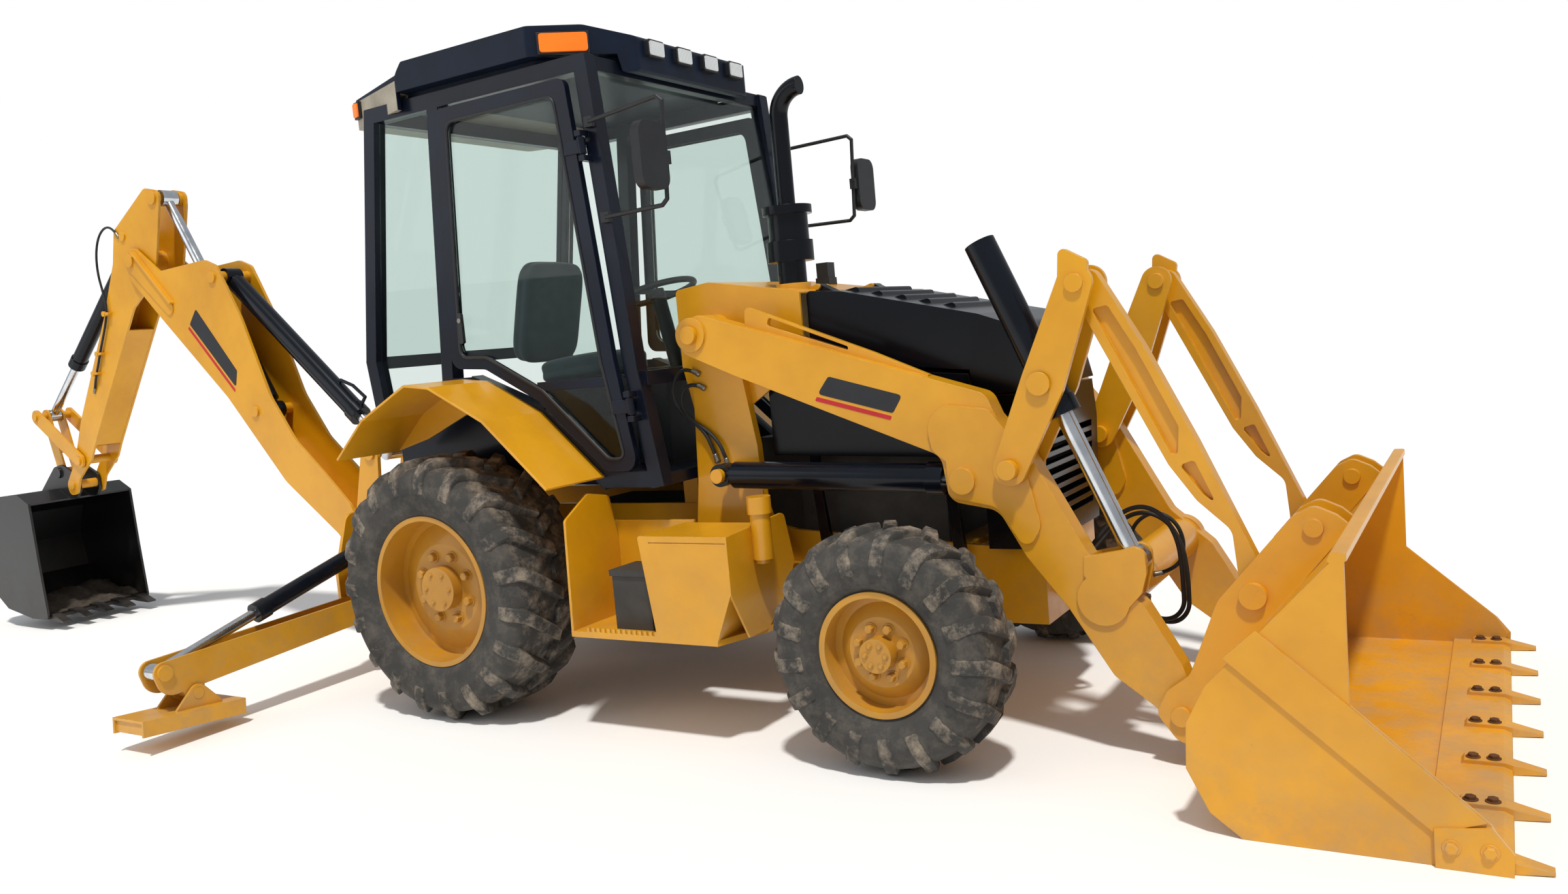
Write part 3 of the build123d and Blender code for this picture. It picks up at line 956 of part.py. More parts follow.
leg_heads = [rod((STAB_X + s * (LEG_IN + 4), ry, rz), (STAB_X + s * (LEG_IN + LEG_T + 12), ry,
                                                       rz), 36) for s in (-1, 1)]
pad_pin = rod((STAB_X - 84, py, pz), (STAB_X + 84, py, pz), 26)
leg = cut(fuse(leg, leg_pad, leg_floor, leg_tube, leg_heads, pad_pin),
          rod((STAB_X - 200, fy, fz), (STAB_X + 200, fy, fz), 28 + RUN))
leg_l = leg
put("stab_leg_l", leg_l)
put("stab_leg_r", leg_l.mirror(Plane.XZ))
PAD_Z = 68.0          # lower edge of the pad, held just off the ground
PAD_TILT = 5.0
pad_box = cut(box(STAB_X - 120, STAB_X + 120, py - 210, py + 290, PAD_Z, PAD_Z + 72),
              box(STAB_X - 108, STAB_X + 108, py - 300, py + 400, PAD_Z - 10, PAD_Z + 60),
              )
pad_sole = box(STAB_X - 108, STAB_X + 108, py - 200, py + 280, PAD_Z + 6, PAD_Z + 62)
pad = Pos(0, py, pz) * (Rot(PAD_TILT, 0, 0) * (Pos(0, -py, -pz) * fuse(pad_box, pad_sole)))
pad_ears = [bar_x([(py, pz, 42), (py - 95, 138, 14), (py + 100, 148, 14)], STAB_X + s * 68,
                  STAB_X + s * 82) for s in (-1, 1)]
pad = fuse(pad, pad_ears)
pad = cut(pad, rod((STAB_X - 200, py, pz), (STAB_X + 200, py, pz), 26 + RUN))
put("stab_pad_l", pad)
put("stab_pad_r", pad.mirror(Plane.XZ))
b3, e3 = (STAB_X, STAB_TOP[0], STAB_TOP[1]), (STAB_X, ry, rz)
sbar = fuse(rod(along(b3, e3, 35), along(b3, e3, 850), STAB_R),
            rod(along(b3, e3, 780), along(b3, e3, 850), STAB_R + 6),
            rod((STAB_X - 42, b3[1], b3[2]), (STAB_X + 42, b3[1], b3[2]), 44))
sbar = cut(sbar, rod((STAB_X - 100, b3[1], b3[2]), (STAB_X + 100, b3[1], b3[2]), 28 + RUN),
           rod(along(b3, e3, 75), along(b3, e3, 855), STAB_ROD_R + RUN))
srod = fuse(rod(along(e3, b3, 25), along(e3, b3, 850), STAB_ROD_R),
            rod((STAB_X - 42, ry, rz), (STAB_X + 42, ry, rz), 40))
put("stab_barrel_l", sbar)
put("stab_barrel_r", sbar.mirror(Plane.XZ))
put("stab_rod_l", srod)
put("stab_rod_r", srod.mirror(Plane.XZ))

# ------------------------------------------------------------- write the parts
for name, solids in SHAPES.items():
    moved = [Pos(SHIFT_X, 0, 0) * s for s in solids]
    export_step(moved[0] if len(moved) == 1 else Compound(moved), f"parts/{name}.step")
print(len(SHAPES), "nodes")
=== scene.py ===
import json
from math import cos, exp, pi, radians, sin, tan

import bmesh
import bpy
from mathutils import Matrix, Vector


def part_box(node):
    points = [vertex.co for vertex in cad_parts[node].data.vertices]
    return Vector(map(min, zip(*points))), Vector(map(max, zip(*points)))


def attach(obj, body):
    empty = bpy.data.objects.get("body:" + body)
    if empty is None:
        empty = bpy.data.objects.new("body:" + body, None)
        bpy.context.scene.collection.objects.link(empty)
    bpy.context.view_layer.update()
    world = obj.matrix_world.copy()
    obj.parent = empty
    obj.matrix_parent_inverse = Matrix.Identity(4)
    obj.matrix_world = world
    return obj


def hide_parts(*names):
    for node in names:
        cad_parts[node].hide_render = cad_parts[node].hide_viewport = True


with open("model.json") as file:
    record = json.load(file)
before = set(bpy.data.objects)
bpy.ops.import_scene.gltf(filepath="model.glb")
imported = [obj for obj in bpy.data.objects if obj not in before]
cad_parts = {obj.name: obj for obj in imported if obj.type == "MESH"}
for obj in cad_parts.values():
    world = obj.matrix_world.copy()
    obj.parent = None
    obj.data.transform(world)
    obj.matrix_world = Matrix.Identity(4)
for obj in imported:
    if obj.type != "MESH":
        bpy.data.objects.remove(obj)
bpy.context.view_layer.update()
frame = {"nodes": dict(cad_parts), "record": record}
NODES = frame["nodes"]
scene = bpy.context.scene
scene.view_settings.view_transform = "Standard"

MM = 0.001
REAR_AXLE_X = 660.0                  # the rear axle's place along the frame, in mm
SIDES = (("r", -1), ("l", 1))        # tag of a side, and the sign of its y
UP = Vector((0, 0, 1))

# ------------------------------------------------------------------ materials
MATH, MIX, NOISE = "ShaderNodeMath", "ShaderNodeMix", "ShaderNodeTexNoise"
RAMP, BUMP = "ShaderNodeValToRGB", "ShaderNodeBump"
MIXED = 2                            # Mix node: its colour output
MIX_A, MIX_B = 6, 7                  # and its colour inputs
EDGE_GAIN = 9.0                      # makes the bevel's small change of normal a mask


def linear(hex_colour):
    """sRGB hex to a linear colour."""
    out = []
    for i in (0, 2, 4):
        c = int(hex_colour[i:i + 2], 16) / 255
        out.append(c / 12.92 if c <= 0.04045 else ((c + 0.055) / 1.055) ** 2.4)
    return (*out, 1.0)


def add(tree, kind, inputs, stops=(), **settings):
    """Adds a node with its settings. An input is a value, or a socket that is linked in;
    stops are the (place, hex or grey) of a colour ramp."""
    n = tree.nodes.new(kind)
    for k, v in settings.items():
        setattr(n, k, v)
    for key, v in inputs.items():
        if isinstance(v, bpy.types.NodeSocket):
            tree.links.new(v, n.inputs[key])
        else:
            n.inputs[key].default_value = v
    for k, (place, colour) in enumerate(stops):
        e = n.color_ramp.elements[k]
        e.position = place
        e.color = linear(colour) if isinstance(colour, str) else (colour, colour, colour, 1.0)
    return n


def material(name, **shader):
    """A material with its shader's own values set, its tree, its shader, and the Object
    coordinates that its patterns read."""
    m = bpy.data.materials.new(name)
    m.use_nodes = True
    t = m.node_tree
    b = t.nodes["Principled BSDF"]
    for k, v in shader.items():
        b.inputs[k.replace("_", " ")].default_value = v
    return m, t, b, add(t, "ShaderNodeTexCoord", {}).outputs["Object"]


def blotches(tree, place, size_mm, stops, detail=4.0, rough=0.6):
    """Cloudy change between two stops, with blotches about size_mm across."""
    cloud = add(tree, NOISE, {"Vector": place, "Scale": 1 / (size_mm * MM),
                              "Detail": detail, "Roughness": rough})
    return add(tree, RAMP, {"Fac": cloud.outputs["Fac"]}, stops=stops).outputs["Color"]


def relief(tree, shader, place, size_mm, detail, depth_mm, strength, rough=0.6, normal=None):
    """Fine unevenness of a surface, with humps about size_mm across."""
    humps = add(tree, NOISE, {"Vector": place, "Scale": 1 / (size_mm * MM),
                              "Detail": detail, "Roughness": rough})
    inputs = {"Strength": strength, "Distance": depth_mm * MM, "Height": humps.outputs["Fac"]}
    if normal is not None:
        inputs["Normal"] = normal
    tree.links.new(add(tree, BUMP, inputs).outputs["Normal"], shader.inputs["Normal"])


def soft_edges(tree, width_mm):
    """Normal that rounds every edge by width_mm, and how near an edge a point is."""
    bevel = add(tree, "ShaderNodeBevel", {"Radius": width_mm * MM}, samples=4).outputs[0]
    flat = add(tree, "ShaderNodeNewGeometry", {}).outputs["Normal"]
    same = add(tree, "ShaderNodeVectorMath", {0: bevel, 1: flat}, operation="DOT_PRODUCT")
    off = add(tree, MATH, {0: 1.0, 1: same.outputs["Value"]}, operation="SUBTRACT")
    edge = add(tree, MATH, {0: off.outputs[0], 1: EDGE_GAIN}, operation="MULTIPLY",
               use_clamp=True)
    return bevel, edge.outputs[0]


def painted(name, coat, dark, dust, wear, rough, dust_top, chips=None, gloss=0.3, shine=0.5):
    """Sprayed and baked enamel: a slight orange peel, a little uneven in tone, dust that
    thickens toward the ground and settles in clouds, and rubbed edges; chips show the
    primer and steel. A real orange peel is 1 to 3 mm across; it is drawn at 9 mm to show."""
    m, t, b, place = material(name, Roughness=rough, IOR=1.5, Coat_Weight=gloss,
                              Coat_Roughness=0.12, Specular_IOR_Level=shine)
    z = add(t, "ShaderNodeSeparateXYZ", {"Vector": place}).outputs["Z"]
    tone = blotches(t, place, 420, [(0.3, dark), (0.62, coat)])
    below = add(t, MATH, {0: dust_top, 1: z}, operation="SUBTRACT").outputs[0]
    low = add(t, MATH, {0: below, 1: dust_top}, operation="DIVIDE", use_clamp=True).outputs[0]
    thick = add(t, MATH, {0: low, 1: 1.6}, operation="POWER").outputs[0]
    cloud = blotches(t, place, 160, [(0.4, 0.05), (0.75, 0.85)], 7.0, 0.68)
    grime = add(t, MATH, {0: thick, 1: cloud}, operation="MULTIPLY", use_clamp=True).outputs[0]
    colour = add(t, MIX, {0: grime, MIX_A: tone, MIX_B: linear(dust)}, data_type="RGBA")
    bevel, edge = soft_edges(t, 4.0)
    patchy = blotches(t, place, 45, [(0.45, 0.0), (0.62, 0.7)], 6.0, 0.7)
    rub = add(t, MATH, {0: edge, 1: patchy}, operation="MULTIPLY").outputs[0]
    colour = add(t, MIX, {0: rub, MIX_A: colour.outputs[MIXED], MIX_B: linear(wear)},
                 data_type="RGBA")
    if chips:
        spot = blotches(t, place, 40, [(0.66, 0.0), (0.70, 1.0)], 8.0, 0.72)
        faint = add(t, MATH, {0: spot, 1: 0.5}, operation="MULTIPLY").outputs[0]
        drawn_out = add(t, "ShaderNodeMapping", {"Vector": place, "Scale": (1.0, 6.0, 1.0)})
        scuff = blotches(t, drawn_out.outputs[0], 190, [(0.60, 0.0), (0.72, 0.55)], 9.0, 0.75)
        bare = add(t, MATH, {0: faint, 1: scuff}, operation="MAXIMUM").outputs[0]
        colour = add(t, MIX, {0: bare, MIX_A: colour.outputs[MIXED], MIX_B: linear(chips)},
                     data_type="RGBA")
    t.links.new(colour.outputs[MIXED], b.inputs["Base Color"])
    dull = add(t, RAMP, {"Fac": grime}, stops=[(0.0, rough), (0.6, 0.75)])
    t.links.new(dull.outputs["Color"], b.inputs["Roughness"])
    relief(t, b, place, 9, 2.0, 0.25, 0.15, normal=bevel)
    return m


# Industrial enamel over steel plate: warm, even, a soft gloss, rubbed pale on its edges.
yellow = painted("yellow_enamel_on_steel", "DF9F0C", "CE8F0A", "A48A62", "EFC878", 0.34, 1.0)
# The same enamel on the loader bucket's plate: scuffed along the way it is pushed.
bucket_yellow = painted("yellow_enamel_worn", "E09E0E", "CF8F0B", "A88C66", "B9B0A0", 0.42, 0.5,
                        chips="B98A45")
# Wheel enamel: duller and dustier than the panels.
rim_yellow = painted("yellow_enamel_on_wheels", "C58B15", "B07812", "957A54", "8E7A58", 0.5, 1.3)
# Black enamel on sheet covers: deep, near neutral, with a thin clear gloss.
black = painted("black_enamel_on_sheet", "0B0D14", "06080C", "4A443C", "2C2F36", 0.22, 1.1,
                gloss=0.08, shine=0.2)
# The cab frame's enamel: the same gloss, bluer.
cab_black = painted("black_enamel_on_cab", "141A28", "0D111C", "4A443C", "333A48", 0.3, 1.2,
                    gloss=0.08, shine=0.2)
# Cylinder tube enamel: smooth and tight, so that a long highlight runs down the tube.
barrel_black = painted("black_enamel_on_tube", "10161F", "090D14", "463F38", "30363F", 0.2, 0.8,
                       gloss=0.1, shine=0.2)
# Digging bucket: thin black paint, scraped down to dull steel along its faces.
scraped = painted("black_paint_scraped_steel", "0B0C0F", "050607", "4A4138", "57544F", 0.45, 0.7,
                  chips="38342F")


def make_roof():
    """Moulded roof shell: blue-black and satin; its rear corner caps are weathered beige.
    The mould's grain, under 1 mm on a real one, is drawn at 5 mm to show."""
    low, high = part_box("roof")
    caps_end, caps_top = low.x + 0.47, high.z - 0.075
    m, t, b, place = material("weathered_roof_moulding", Roughness=0.42, IOR=1.5,
                              Specular_IOR_Level=0.2)
    p = add(t, "ShaderNodeSeparateXYZ", {"Vector": place}).outputs
    rear = add(t, MATH, {0: p["X"], 1: caps_end}, operation="LESS_THAN").outputs[0]
    face = add(t, MATH, {0: p["Z"], 1: caps_top}, operation="LESS_THAN").outputs[0]
    both = add(t, MATH, {0: rear, 1: face}, operation="MULTIPLY").outputs[0]
    tone = blotches(t, place, 300, [(0.3, "0B1422"), (0.7, "121E33")])
    cap = blotches(t, place, 120, [(0.3, "958D7D"), (0.7, "B3AB9A")], 7.0)
    colour = add(t, MIX, {0: both, MIX_A: tone, MIX_B: cap}, data_type="RGBA")
    t.links.new(colour.outputs[MIXED], b.inputs["Base Color"])
    relief(t, b, place, 5, 3.0, 0.3, 0.3, normal=soft_edges(t, 6.0)[0])
    return m


def make_chrome():
    """Hard chrome on a ground rod: mirror bright, with faint hazy places from use."""
    m, t, b, place = material("hard_chrome_rod", Metallic=1.0, Roughness=0.14)
    t.links.new(blotches(t, place, 90, [(0.3, "C3C7CC"), (0.7, "DDE0E3")], 3.0),
                b.inputs["Base Color"])
    t.links.new(blotches(t, place, 60, [(0.3, 0.09), (0.7, 0.22)], 6.0), b.inputs["Roughness"])
    return m


def make_tyre():
    """Vulcanised rubber: near black on the walls, dry brown dust on the bars' faces. Its
    grain, under 1 mm on a real tyre, is drawn at 6 mm to show."""
    m, t, b, place = material("vulcanised_tyre_rubber", IOR=1.5, Roughness=0.82)
    base = blotches(t, place, 240, [(0.3, "2B2A28"), (0.75, "454340")], 6.0)
    dust = blotches(t, place, 90, [(0.46, 0.0), (0.74, 0.75)], 9.0, 0.74)
    tread = add(t, "ShaderNodeAttribute", {}, attribute_name="tread").outputs["Fac"]
    more = add(t, MATH, {0: 0.25, 1: tread}, operation="ADD").outputs[0]
    amount = add(t, MATH, {0: dust, 1: more}, operation="MULTIPLY").outputs[0]
    colour = add(t, MIX, {0: amount, MIX_A: base, MIX_B: linear("9A8D7C")}, data_type="RGBA")
    t.links.new(colour.outputs[MIXED], b.inputs["Base Color"])
    relief(t, b, place, 6, 6.0, 0.8, 0.4)
    return m


def make_glass():
    """Safety glass, faintly green, with a little haze that dulls its gloss in places."""
    clean, hazy = 0.006, 0.012
    m, t, b, place = material("smoked_safety_glass", Roughness=clean, IOR=1.25,
                              Transmission_Weight=1.0, Base_Color=linear("DDE8E4"))
    t.links.new(blotches(t, place, 260, [(0.4, clean), (0.8, hazy)], 6.0),
                b.inputs["Roughness"])
    return m


def make_plain(name, low, high, rough, grain_mm, depth_mm=0.2, edge_mm=2.0, **shader):
    """Moulded, cast, plated or extruded surface: two close tones and a fine grain. A real
    grain is 0.1 to 0.5 mm; it is drawn grain_mm across, as coarse as it needs to show."""
    m, t, b, place = material(name, Roughness=rough, **shader)
    t.links.new(blotches(t, place, 150, [(0.3, low), (0.7, high)]), b.inputs["Base Color"])
    relief(t, b, place, grain_mm, 3.0, depth_mm, 0.4,
           normal=soft_edges(t, edge_mm)[0] if edge_mm else None)
    return m


def make_weave(thread_mm=3.2):
    """Woven seat cloth: crossed threads in the tone and in the bump, with a soft sheen.
    Real threads are under 1 mm; they are drawn 3.2 mm apart to show."""
    m, t, b, place = material("woven_seat_cloth", Roughness=0.85, Sheen_Weight=0.25,
                              Sheen_Roughness=0.5)
    p = add(t, "ShaderNodeSeparateXYZ", {"Vector": place}).outputs
    turns = pi / (thread_mm * MM)
    waves = []
    depth = add(t, MATH, {0: p["X"], 1: p["Z"]}, operation="ADD").outputs[0]
    for run in (p["Y"], depth):
        angle = add(t, MATH, {0: run, 1: turns}, operation="MULTIPLY").outputs[0]
        waves.append(add(t, MATH, {0: angle}, operation="SINE").outputs[0])
    crossed = add(t, MATH, {0: waves[0], 1: waves[1]}, operation="MULTIPLY").outputs[0]
    weave = add(t, MATH, {0: crossed, 1: 0.5, 2: 0.5}, operation="MULTIPLY_ADD").outputs[0]
    cloud = add(t, NOISE, {"Vector": place, "Scale": 1 / (60 * MM), "Detail": 5.0,
                           "Roughness": 0.6}).outputs["Fac"]
    worn = add(t, MATH, {0: cloud, 1: 0.6}, operation="MULTIPLY").outputs[0]
    tone = add(t, MATH, {0: weave, 1: 0.4, 2: worn}, operation="MULTIPLY_ADD").outputs[0]
    colour = add(t, RAMP, {"Fac": tone}, stops=[(0.25, "26343A"), (0.75, "3C4F56")])
    t.links.new(colour.outputs["Color"], b.inputs["Base Color"])
    raised = add(t, BUMP, {"Strength": 0.5, "Distance": 0.4 * MM, "Height": weave})
    t.links.new(raised.outputs["Normal"], b.inputs["Normal"])
    return m


def make_lens(name, tint, painted_glow, flutes=900.0):
    """Pressed lamp lens: coloured polycarbonate with flutes that run up and down, and a faint
    painted glow in its tint that stands in for daylight thrown back by a reflector behind it.
    flutes is in radians per metre: one every 7 mm."""
    # The emission is a painted glow: daylight that a reflector would throw back, painted into
    # the lens.
    m, t, b, place = material(name, Roughness=0.12, IOR=1.5, Base_Color=linear(tint),
                              Transmission_Weight=0.35, Emission_Color=linear(tint),
                              Emission_Strength=painted_glow)
    p = add(t, "ShaderNodeSeparateXYZ", {"Vector": place}).outputs
    run = add(t, MATH, {0: p["Y"], 1: p["X"]}, operation="ADD").outputs[0]
    angle = add(t, MATH, {0: run, 1: flutes}, operation="MULTIPLY").outputs[0]
    flute = add(t, MATH, {0: angle}, operation="SINE").outputs[0]
    ribs = add(t, BUMP, {"Strength": 0.6, "Distance": 1.2 * MM, "Height": flute})
    t.links.new(ribs.outputs["Normal"], b.inputs["Normal"])
    return m


def make_soil():
    """Dry clay left in the digging bucket: matt, crumbly, in two browns."""
    m, t, b, place = material("dry_clay_soil", Roughness=0.95)
    t.links.new(blotches(t, place, 60, [(0.3, "2B2620"), (0.7, "5A5045")], 10.0, 0.75),
                b.inputs["Base Color"])
    relief(t, b, place, 18, 8.0, 6.0, 0.9, rough=0.7)
    return m


roof_mat, chrome, tyre_mat, glass = make_roof(), make_chrome(), make_tyre(), make_glass()
# Injection-moulded ABS: black, with a fine spark-eroded grain that takes its gloss off.
abs_black = make_plain("textured_black_abs", "131417", "1E2024", 0.5, 3)
# Grey iron as cast: sandy and matt.
iron = make_plain("grey_cast_iron", "2A2927", "3E3C38", 0.7, 4, 0.5)
weave = make_weave()
# Extruded hose cover: matt black rubber.
rubber = make_plain("black_hose_rubber", "121315", "1C1D1F", 0.6, 2, 0.3, 0)
# Zinc-plated steel: grey metal with a dull lustre.
steel = make_plain("zinc_plated_bolt", "77736A", "989287", 0.38, 3, 0.1, 1.0, Metallic=0.9)
# Bolt steel left bare: brown rust, rough.
rusty = make_plain("rusted_bolt", "4A2E17", "6B4422", 0.85, 3, 0.4, 1.0, Metallic=0.2)
# The last number is each lens's painted glow, in place of light thrown back by its reflector.
amber = make_lens("amber_lamp_lens", "FF8C1E", 0.25)
clear = make_lens("clear_lamp_lens", "E8ECEC", 0.12)
# Float glass silvered on its back: a clean mirror.
mirror = make_plain("silvered_mirror_glass", "B7BDC2", "C4CACE", 0.03, 400, 0.0, 0, Metallic=1.0)
# Cast vinyl film: smooth, evenly coloured, a soft gloss.
dark_film = make_plain("dark_vinyl_film", "15161A", "1E2026", 0.3, 6, 0.05, 0)
red_film = make_plain("red_vinyl_film", "B5121B", "C81A22", 0.3, 6, 0.05, 0)
soil = make_soil()

FINISH = {
    "yellow_paint": yellow, "black_paint": black, "dark_bucket_paint": scraped,
    "chrome_rod": chrome, "tyre_rubber": tyre_mat, "cab_glass": glass,
    "black_plastic": abs_black, "engine_iron": iron, "seat_fabric": weave,
}
BY_NODE = {"loader_bucket": bucket_yellow, "roof": roof_mat, "cab_frame": cab_black,
           "door_l": cab_black, "door_r": cab_black}
SLOT = {p["node"]: p["material_slot"] for p in frame["record"]["subparts"]}
for name, o in NODES.items():
    mat = BY_NODE.get(name) or FINISH[SLOT[name]]
    if "barrel" in name:
        mat = barrel_black
    elif name.endswith(("rim_l", "rim_r")):
        mat = rim_yellow
    o.data.materials.clear()
    o.data.materials.append(mat)


# ------------------------------------------------------------------ making pieces
def at(x, y, z):
    """Millimetres from the rear axle's line, as a point of the frame in metres."""
    return Vector(((x + REAR_AXLE_X) * MM, y * MM, z * MM))


def around(n, r, start=0.0):
    """n points evenly round a circle of radius r."""
    return [Vector((r * cos(start + 2 * pi * k / n), r * sin(start + 2 * pi * k / n)))
            for k in range(n)]


def oblong(half_u, half_v):
    return [(-half_u, -half_v), (half_u, -half_v), (half_u, half_v), (-half_u, half_v)]


def piece(name, verts, faces, mat, body, slot, smooth=True):
    """Mesh in place, on its body, with outward faces."""
    mesh = bpy.data.meshes.new(name)
    mesh.from_pydata([tuple(v) for v in verts], [], faces)
    bm = bmesh.new()
    bm.from_mesh(mesh)
    bmesh.ops.remove_doubles(bm, verts=bm.verts, dist=1e-6)
    bmesh.ops.recalc_face_normals(bm, faces=bm.faces)
    bm.to_mesh(mesh)
    bm.free()
    if smooth:
        mesh.shade_smooth()
    mesh.materials.append(mat)
    o = bpy.data.objects.new(name, mesh)
    scene.collection.objects.link(o)
    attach(o, body)
    return o


def bake(o, name):
    """The object's evaluated shape as a plain mesh of its own, with no modifier."""
    deps = bpy.context.evaluated_depsgraph_get()
    deps.update()
    mesh = bpy.data.meshes.new_from_object(o.evaluated_get(deps))
    mesh.name = name
    return mesh


def loft(rings, caps=True):
    """Faces over equal closed rings of points; returns (points, faces)."""
    n = len(rings[0])
    verts = [p for r in rings for p in r]
    faces = []
    for i in range(len(rings) - 1):
        for j in range(n):
            k = (j + 1) % n
            faces.append((i * n + j, i * n + k, (i + 1) * n + k, (i + 1) * n + j))
    if caps:
        faces.append(tuple(range(n)))
        faces.append(tuple((len(rings) - 1) * n + j for j in range(n)))
    return verts, faces


def rounded(points, r, n=5):
    """Closed outline of 2-D points with corners rounded to r, or as far as nearly half of
    the shorter side allows."""
    out = []
    m = len(points)
    for i in range(m):
        p, q, s = (Vector(points[k % m]) for k in (i - 1, i, i + 1))
        a, b = (p - q).normalized(), (s - q).normalized()
        half = a.angle(b) / 2
        cut = r / max(0.2, tan(half)) if half < pi / 2 - 1e-3 else 0.0
        cut = min(cut, (p - q).length * 0.48, (s - q).length * 0.48)
        start, end = q + a * cut, q + b * cut
        for k in range(n + 1):
            f = k / n
            out.append(start * (1 - f) ** 2 + q * 2 * f * (1 - f) + end * f ** 2)
    return out


def tile(name, outline, place, mat, body, slot, thick, bevel):
    """Thin plate with a softened rim; place(u, v, h) gives a point at height h."""
    c = sum(outline, Vector((0, 0))) / len(outline)
    rings = []
    for inset, h in ((0.0, 0.0), (0.0, thick - bevel), (bevel, thick)):
        rings.append([place(*(p + (c - p).normalized() * inset), h) for p in outline])
    return piece(name, *loft(rings), mat, body, slot, smooth=False)


# ------------------------------------------------------------------ repeated fasteners
HEX_STEPS = 4        # points along a flat of a hex head


def hexagon_bolt(head_r, head_h):
    """Hex head on a washer, with a chamfered top, standing on z = 0."""
    washer_r = head_r * 1.35
    verts, faces = loft([[Vector((*p, z)) for p in around(6 * HEX_STEPS, r)]
                         for r, z in ((washer_r, -0.002), (washer_r, 0.0022),
                                      (washer_r * 0.96, 0.003))])
    rings = []
    for r, z in ((head_r, 0.002), (head_r, head_h * 0.86), (head_r * 0.84, head_h)):
        corners = [Vector((*p, z)) for p in around(6, r)]
        rings.append([corners[c].lerp(corners[(c + 1) % 6], k / HEX_STEPS)
                      for c in range(6) for k in range(HEX_STEPS)])
    head, head_faces = loft(rings)
    return verts + head, faces + [tuple(i + len(verts) for i in f) for f in head_faces]


def repeat_tree():
    """Geometry Nodes: one small unit on each point, turned to the point's facing."""
    tree = bpy.data.node_groups.new("repeat_on_points", "GeometryNodeTree")
    face = tree.interface
    face.new_socket("Geometry", in_out="OUTPUT", socket_type="NodeSocketGeometry")
    for label, kind in (("Points", "Geometry"), ("Unit", "Object"), ("Size", "Float"),
                        ("Turn", "Float"), ("Seed", "Int"), ("Finish", "Material")):
        face.new_socket(label, in_out="INPUT", socket_type=f"NodeSocket{kind}")
    given = tree.nodes.new("NodeGroupInput").outputs
    unit = add(tree, "GeometryNodeObjectInfo", {"Object": given["Unit"]})
    facing = add(tree, "GeometryNodeInputNamedAttribute", {"Name": "facing"},
                 data_type="FLOAT_VECTOR").outputs[0]
    aim = add(tree, "FunctionNodeAlignRotationToVector", {"Vector": facing}, axis="Z")
    low = add(tree, MATH, {0: given["Turn"], 1: -1.0}, operation="MULTIPLY")
    spin = add(tree, "FunctionNodeRandomValue", {2: low.outputs[0], 3: given["Turn"],
                                                 "Seed": given["Seed"]}, data_type="FLOAT")
    about = add(tree, "ShaderNodeCombineXYZ", {"Z": spin.outputs[1]})
    twist = add(tree, "FunctionNodeEulerToRotation", {"Euler": about.outputs[0]})
    both = add(tree, "FunctionNodeRotateRotation",
               {"Rotation": aim.outputs[0], "Rotate By": twist.outputs[0]},
               rotation_space="LOCAL")
    on = add(tree, "GeometryNodeInstanceOnPoints",
             {"Points": given["Points"], "Instance": unit.outputs["Geometry"],
              "Rotation": both.outputs[0], "Scale": given["Size"]})
    real = add(tree, "GeometryNodeRealizeInstances", {"Geometry": on.outputs[0]})
    coat = add(tree, "GeometryNodeSetMaterial",
               {"Geometry": real.outputs[0], "Material": given["Finish"]})
    add(tree, "NodeGroupOutput", {0: coat.outputs[0]})
    return tree


REPEAT = repeat_tree()


def repeat(name, unit, places, mat, body, slot):
    """The unit (points, faces) at each (point, facing) of places, as one plain mesh."""
    small = bpy.data.meshes.new(f"{name}_unit")
    small.from_pydata([tuple(v) for v in unit[0]], [], unit[1])
    source = bpy.data.objects.new(f"{name}_unit", small)
    spots = bpy.data.meshes.new(f"{name}_spots")
    spots.from_pydata([tuple(p) for p, _ in places], [], [])
    spots.attributes.new("facing", "FLOAT_VECTOR", "POINT").data.foreach_set(
        "vector", [c for _, f in places for c in f])
    holder = bpy.data.objects.new(f"{name}_holder", spots)
    scene.collection.objects.link(source)
    scene.collection.objects.link(holder)
    mod = holder.modifiers.new("repeat", "NODES")
    mod.node_group = REPEAT
    keys = {i.name: i.identifier for i in REPEAT.interface.items_tree if i.in_out == "INPUT"}
    for label, value in (("Unit", source), ("Size", 1.0), ("Turn", 0.5), ("Seed", 11),
                         ("Finish", mat)):
        mod[keys[label]] = value
    mesh = bake(holder, name)
    for o in (source, holder):
        bpy.data.objects.remove(o)
    return piece(name, [v.co.copy() for v in mesh.vertices],
                 [tuple(p.vertices) for p in mesh.polygons], mat, body, slot, smooth=False)


# ------------------------------------------------------------------ tyres
TURNS = 120          # points round the carcass
FLANK = 0.58         # half of a bar's root, as part of its thickness


